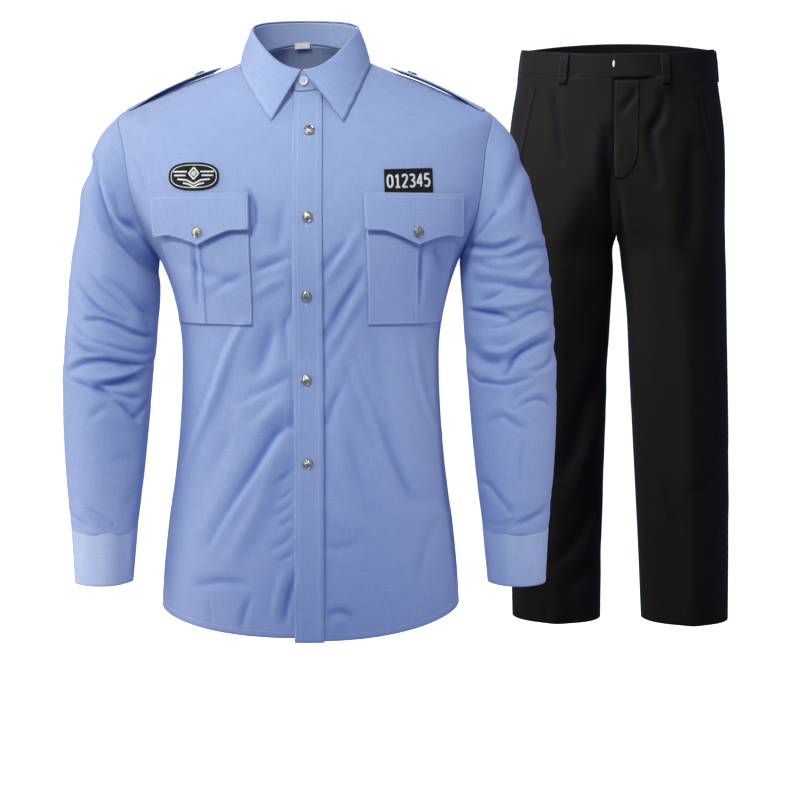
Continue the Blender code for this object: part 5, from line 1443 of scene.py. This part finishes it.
def make_buttons():
    for number, (x, z) in enumerate(FRONT_BUTTONS, 1):
        place, facing = front_places(x, z, FACE + BUTTON_GAP)
        metal_button(f"front_metal_{number}", place, facing, f"front_button_{number}")
    over = 2 * FACE + POCKET_LIFT + PLEAT_STEP + BUTTON_GAP + BUTTON_ON_FLAP * FLAP_STAND
    far = EPAULETTE_IN + STRAP_BUTTON_IN
    share = (EPAULETTE_OUT - far) / (EPAULETTE_OUT - EPAULETTE_IN)
    lift = FACE + 2 * BUTTON_GAP + EPAULETTE_LIFT * strap_rise(share)
    for name, side in SIDES.items():
        level, angle = BODY.by_tape(FRONT_LINE + side * POCKET_MIDDLE,
                                    FLAP_TOP - FLAP_BUTTON_DROP)
        metal_button(f"pocket_metal_{name}", BODY.cloth(level, angle, over),
                     normals_of(BODY.point, level, angle), f"pocket_button_{name}")
        place = strap_place(side, far, 0.0, lift)
        facing = strap_place(side, far, 0.0, lift + 5) - place
        metal_button(f"epaulette_metal_{name}", place, facing, f"epaulette_button_{name}")
        flip, hang = cuff_hang(name)
        at = np.radians(CUFF_START + CUFF_BUTTON_AT)
        facing = normals_of(cuff_point, 0.5, at, du=0.02)
        place = (cuff_point(0.5, at) + facing * (FACE + BUTTON_GAP)) * flip + hang
        plastic_button(f"cuff_white_{name}", place, facing * flip, f"cuff_button_{name}")
    at = np.radians(COLLAR_BUTTON_AT)
    facing = normals_of(stand_point, 0.5, at, du=0.02)
    plastic_button("collar_white", stand_point(0.5, at) + facing * (STAND_LIFT + BUTTON_GAP),
                   facing, "collar_button")


# ---------------------------------------------------------------- stitches
def edge_line(name, edge, inset, start=0.0, end=1.0):
    """Points this far inside an edge of a cloth grid, and the ways out of the cloth."""
    points = GRIDS[name]
    normal = unit(np.cross(np.gradient(points, axis=1), np.gradient(points, axis=0)))
    grid = np.concatenate([points, normal], -1)
    if edge in ("left", "right"):
        grid = np.swapaxes(grid, 0, 1)
    if edge in ("top", "right"):
        grid = grid[::-1]
    run = run_of(grid[..., :3])
    first, last = (int(round(share * (grid.shape[1] - 1))) for share in (start, end))
    line = np.array([[np.interp(inset, run[:, column], grid[:, column, i]) for i in range(6)]
                     for column in range(first, last + 1)])
    run = run_of(line[:, :3])
    keep = (run > inset * 0.9) & (run < run[-1] - inset * 0.9)
    return line[keep, :3], line[keep, 3:]


def sewn(line, out):
    """A line cut into stitches, each with its ends drawn into the cloth."""
    run = run_of(line)
    starts = np.arange(STITCH_GAP, run[-1] - STITCH, STITCH + STITCH_GAP)
    at = starts[:, None] + STITCH * np.array([0, 0.25, 0.75, 1])
    place, way = (np.stack([np.interp(at, run, axis) for axis in values.T], -1)
                  for values in (line, out))
    rise = THREAD * np.array([-0.35, 0.15, 0.15, -0.35])
    return list(zip(place + unit(way) * rise[:, None], unit(way)))


def bars(name, lines, wide, high, stuff):
    """Raised rounded bars along lines of points and the ways out there, as one piece."""
    section = np.array([(-1, -0.6), (-0.8, 0.5), (0, 1), (0.8, 0.5), (1, -0.6)])
    verts, faces, start = [], [], 0
    for points, normals in lines:
        across = unit(np.cross(np.gradient(points, axis=0), normals))
        grid = (points[:, None] + across[:, None] * section[:, :1] * wide / 2
                + normals[:, None] * section[:, 1:] * high)
        verts.append(grid.reshape(-1, 3))
        last = start + 5 * (len(points) - 1)
        faces += [(a + j, a + j + 1, a + j + 6, a + j + 5)
                  for a in range(start, last, 5) for j in range(4)]
        faces += [tuple(range(start, start + 5))[::-1], tuple(range(last, last + 5))]
        start = last + 5
    solid_piece(name, np.concatenate(verts), faces, stuff)


# The rows of stitches: cloth, its edges, inset, and the part of the edge that is sewn.
SEWING = {
    "placket": (("placket", "left right", PLACKET_STITCH),),
    "fronts": (("front_left", "foot", HEM_STITCH, 0.05, 1),
               ("front_right", "foot", HEM_STITCH, 0, 0.95),
               ("front_left", "right", SEAM_STITCH, 0.6, 0.93),
               ("front_right", "left", SEAM_STITCH, 0.6, 0.93)),
    "back": (("back", "foot", HEM_STITCH), ("back", "left right", SEAM_STITCH, 0.75)),
    "yoke": (("yoke", "foot", EDGE_STITCH), ("yoke", "left right", SEAM_STITCH)),
    "stand": (("stand", "foot left", EDGE_STITCH),),
    "leaf": (("leaf", "foot", WIDE_STITCH), ("leaf", "left right", WIDE_STITCH, 0, 0.72)),
    "label": (("label", "top left right", 0.9),),
}
for _name in SIDES:
    SEWING |= {
        "pocket_" + _name: (("pocket_" + _name, "left right foot", EDGE_STITCH),),
        "flap_" + _name: (("flap_" + _name, "left right foot", EDGE_STITCH),
                          ("flap_" + _name, "top", WIDE_STITCH)),
        "cuff_" + _name: (("cuff_" + _name, "foot", 5.0),
                          ("cuff_" + _name, "top left right", EDGE_STITCH)),
        "epaulette_" + _name: (("epaulette_" + _name, "left right", EDGE_STITCH),),
    }
TROUSER_SEWING = {
    "waistband": (("waistband", "foot", 1.4), ("waistband", "top", 1.6)),
    "fly": (("fly", "right", 3.0, 0.1),),
    "slants": (("slant_right", "left", 1.4), ("slant_left", "right", 1.4)),
    "loops": tuple((f"loop_{where}", "left right", 1.6) for where in LOOP_ANGLES),
}


def make_stitches():
    for table, thread in ((SEWING, SHIRT_THREAD), (TROUSER_SEWING, TROUSER_THREAD)):
        for name, rows in table.items():
            lines = [stitch for piece, edges, inset, *part in rows for edge in edges.split()
                     for stitch in sewn(*edge_line(piece + "_cloth", edge, inset, *part))]
            bars(name + "_stitches", lines, THREAD, THREAD * 0.5, thread)


# ---------------------------------------------------------------- sign, number, buttonholes
def dense(line, step=1.2):
    """A line with points no further apart than a step."""
    line = np.array(line, float)
    parts = [np.linspace(a, b, max(2, int(np.ceil(np.linalg.norm(b - a) / step)) + 1))[:-1]
             for a, b in zip(line[:-1], line[1:])]
    return np.concatenate([*parts, line[-1:]])


def surface_lines(lines, at, tilt=0.0):
    """Lines drawn in mm on the chest, about a place, as points and the ways out."""
    made = []
    for line in lines:
        x, z = turned(*np.transpose(line), tilt)
        made.append(front_places(at[0] + x, at[1] + z, FACE))
    return made


def badge_loop(inset):
    """A line this far inside the badge's outline."""
    turns = np.linspace(0, 2 * np.pi, 73)
    return np.stack([power(wave(turns), 2 / BADGE_SQUARE) * (size / 2 - inset)
                     for wave, size in zip((np.cos, np.sin), BADGE_SIZE)], -1)


def make_patch_work():
    """The raised satin stitch of both patches: border, sign and number."""
    for name, lines, wide, high, stuff in (
            ("work", [dense(line) for line in BADGE_LINES], 2.4, 0.55, SATIN),
            ("ring", [badge_loop(3.0)], 1.2, 0.5, SATIN),
            ("edge", [badge_loop(0.7)], 1.8, 0.6, PATCH)):
        bars("badge_" + name, surface_lines(lines, BADGE_AT), wide, high, stuff)
    lines = []
    for place, digit in enumerate(NUMBER):
        shift = (place - (len(NUMBER) - 1) / 2) * DIGIT_PITCH
        for stroke in DIGITS[digit]:
            stroke = np.array(stroke) - (0.5, 1.0)
            lines.append(dense(stroke * (DIGIT_WIDE, DIGIT_HIGH / 2) + (shift, 0)))
    bars("number_work", surface_lines(lines, TAB_AT, TAB_TILT), DIGIT_STROKE, 0.5, SATIN)
    w, h = TAB_SIZE[0] / 2 - 0.8, TAB_SIZE[1] / 2 - 0.8
    edge = dense(((-w, -h), (w, -h), (w, h), (-w, h), (-w, -h)), 2.5)
    bars("number_edge", surface_lines([edge], TAB_AT, TAB_TILT), 1.8, 0.6, PATCH)


def make_buttonholes():
    """A buttonhole under each button: two satin edges beside a slit painted as a dark bar of
    shade.
    """
    satin, slits = [], []
    top, low, edge = HOLE_TOP, HOLE_TOP - HOLE_LONG, 0.75
    for at in FRONT_BUTTONS:
        sides = [dense(((x, top), (x, low))) for x in (-edge, edge)]
        ends = [dense(((-1.2, end), (1.2, end)), 0.8) for end in (top, low)]
        satin += surface_lines(sides + ends, at)
        slits += surface_lines([dense(((0, top), (0, low)))], at)
    heights = FLAP_TOP - FLAP_HOLE_DROP + np.linspace(0, -HOLE_LONG, 12)
    stand = 2 * FACE + POCKET_LIFT + PLEAT_STEP + FLAP_STAND * np.interp(
        heights, (FLAP_TOP - FLAP_DEEP, FLAP_TOP), (1, 0))**FLAP_CURVE
    for side in SIDES.values():
        for shift, lines in ((edge, satin), (-edge, satin), (0.0, slits)):
            level, angle = BODY.by_tape(FRONT_LINE + side * (POCKET_MIDDLE + shift), heights)
            lines.append((BODY.cloth(level, angle, stand),
                          normals_of(BODY.point, level, angle)))
    bars("buttonhole_satin", satin, 0.9, 0.35, SHIRT_THREAD)
    # The slits: dark bars of painted shade.
    bars("buttonhole_slits", slits, 0.6, 0.12, PAINTED_SLIT_SHADE)


# ---------------------------------------------------------------- stage, light and camera
def linked(name, data):
    """An object in the scene for the data."""
    obj = bpy.data.objects.new(name, data)
    bpy.context.scene.collection.objects.link(obj)
    return obj


def white_stage(name, mesh):
    """A plain white stage piece that only the camera sees, so it throws no light."""
    white = (1.0, 1.0, 1.0, 1.0)
    material, _, _ = shader_of(name, Roughness=0.9, Base_Color=white, Emission_Color=white,
                               Emission_Strength=1.0)
    mesh.materials.append(material)
    obj = linked(name, mesh)
    for ray in ("diffuse", "glossy", "shadow", "transmission"):
        setattr(obj, "visible_" + ray, False)


def soft_light(name, at, aim, size, watts, colour, spread):
    light = bpy.data.lights.new(name, "AREA")
    light.shape = "RECTANGLE"
    light.size, light.size_y = size
    light.energy, light.color, light.spread = watts, colour, spread
    obj = linked(name, light)
    obj.location = Vector(at)
    obj.rotation_euler = (Vector(aim) - Vector(at)).to_track_quat("-Z", "Y").to_euler()


def make_stage():
    """A white floor and dome, a dim bluish studio round them, and the lamps."""
    mesh, reach = bpy.data.meshes.new("floor"), STAGE_REACH
    mesh.from_pydata([(-reach, -reach, FLOOR), (reach, -reach, FLOOR), (reach, reach, FLOOR),
                      (-reach, reach, FLOOR)], [], [(0, 1, 2, 3)])
    white_stage("floor", mesh)
    mesh, dome = bpy.data.meshes.new("backdrop"), bmesh.new()
    bmesh.ops.create_icosphere(dome, subdivisions=3, radius=reach * 0.9)
    dome.to_mesh(mesh)
    dome.free()
    white_stage("backdrop", mesh)
    scene = bpy.context.scene
    scene.view_settings.view_transform = "Standard"
    world = scene.world = bpy.data.worlds.new("studio")
    world.use_nodes = True
    back = world.node_tree.nodes["Background"]
    back.inputs["Color"].default_value = (*STUDIO_TINT, 1.0)
    back.inputs["Strength"].default_value = STUDIO
    for lamp in LAMPS:
        soft_light(*lamp)


def make_camera():
    data = bpy.data.cameras.new("camera")
    data.sensor_width = SENSOR
    data.lens = FOCAL * SENSOR / PICTURE
    camera = linked("camera", data)
    camera.location = Vector(CAMERA_AT) * MM
    camera.rotation_euler = (np.radians(90 - CAMERA_DOWN), 0, 0)
    bpy.context.scene.camera = camera


# ---------------------------------------------------------------- build
# Stuffs: a material and the slot it stands for.
SHIRT_THREAD = plain("shirt_thread", THREAD_BLUE, 0.6), "shirt_cloth"
TROUSER_THREAD = plain("trouser_thread", THREAD_BLACK, 0.6), "trouser_cloth"
SATIN = plain("satin_thread", THREAD_SILVER, 0.45, grain=0.4, size=1800.0), "patch"
# Painted shade for the buttonholes' slits.
PAINTED_SLIT_SHADE = plain("slit", SLIT_PAINTED_SHADE, 0.9), "shirt_cloth"
SHIRT = woven("shirt_weave", SHIRT_BLUE, SHIRT_PAINTED_SHADE, 0.0009, 45.0, 0.82, 0.12,
              0.35), "shirt_cloth"
# Painted light: the cuffs' lighter copy of the shirt's weave.
CUFF_PAINTED_LIGHT = woven("cuff_weave", CUFF_PAINTED_LIGHT_BLUE, SHIRT_PAINTED_SHADE, 0.0009, 45.0, 0.8, 0.12,
             0.35), "cuff_cloth"
TROUSERS = woven("trouser_twill", TROUSER_BLACK, TROUSER_PAINTED_SHADE, 0.0011, 40.0, 0.8, 0.02,
                 0.35, twill=True, gloss=0.12), "trouser_cloth"
METAL = plain("struck_metal", METAL_TINT, 0.28, metal=1.0, grain=0.1), "metal_button"
STEEL = plain("hook_steel", STEEL_TINT, 0.25, metal=1.0), "hook"
PLASTIC = plain("button_plastic", PLASTIC_WHITE, 0.3, coat=0.3, grain=0.05), "plastic_button"
# Painted shade for the plastic buttons' holes.
PAINTED_HOLE_SHADE = plain("button_hole_painted_shade", PLASTIC_HOLE_PAINTED_SHADE, 0.7), "plastic_button"
LABEL = woven("label_weave", LABEL_WHITE, LABEL_PAINTED_SHADE, 0.0006, 60.0, 0.6, 0.0, 0.2), "label"
PATCH = woven("patch_weave", PATCH_BLACK, PATCH_PAINTED_SHADE, 0.0012, 60.0, 0.85, 0.05, 0.5,
              twill=True), "patch"
GRIDS = {}                          # the points of each piece of cloth, for its stitches
BODY = Skin()
ARMS = {name: Sleeve(name) for name in SIDES}
LEGS = {name: Trousers(name) for name in SIDES}

make_camera()
make_body()
make_placket()
for side_name in SIDES:
    for make in (make_pocket, make_sleeve, make_cuff, make_epaulette, make_leg, make_slant):
        make(side_name)
make_patch("badge", BADGE_AT, BADGE_SIZE, BADGE_SQUARE, 0.0, rows=31, least=0.35)
make_patch("number", TAB_AT, TAB_SIZE, TAB_SQUARE, TAB_TILT, rows=21, least=1.0)
make_collar()
make_waist()
make_fly()
make_hook()
make_buttons()
make_buttonholes()
make_patch_work()
make_stitches()
make_stage()
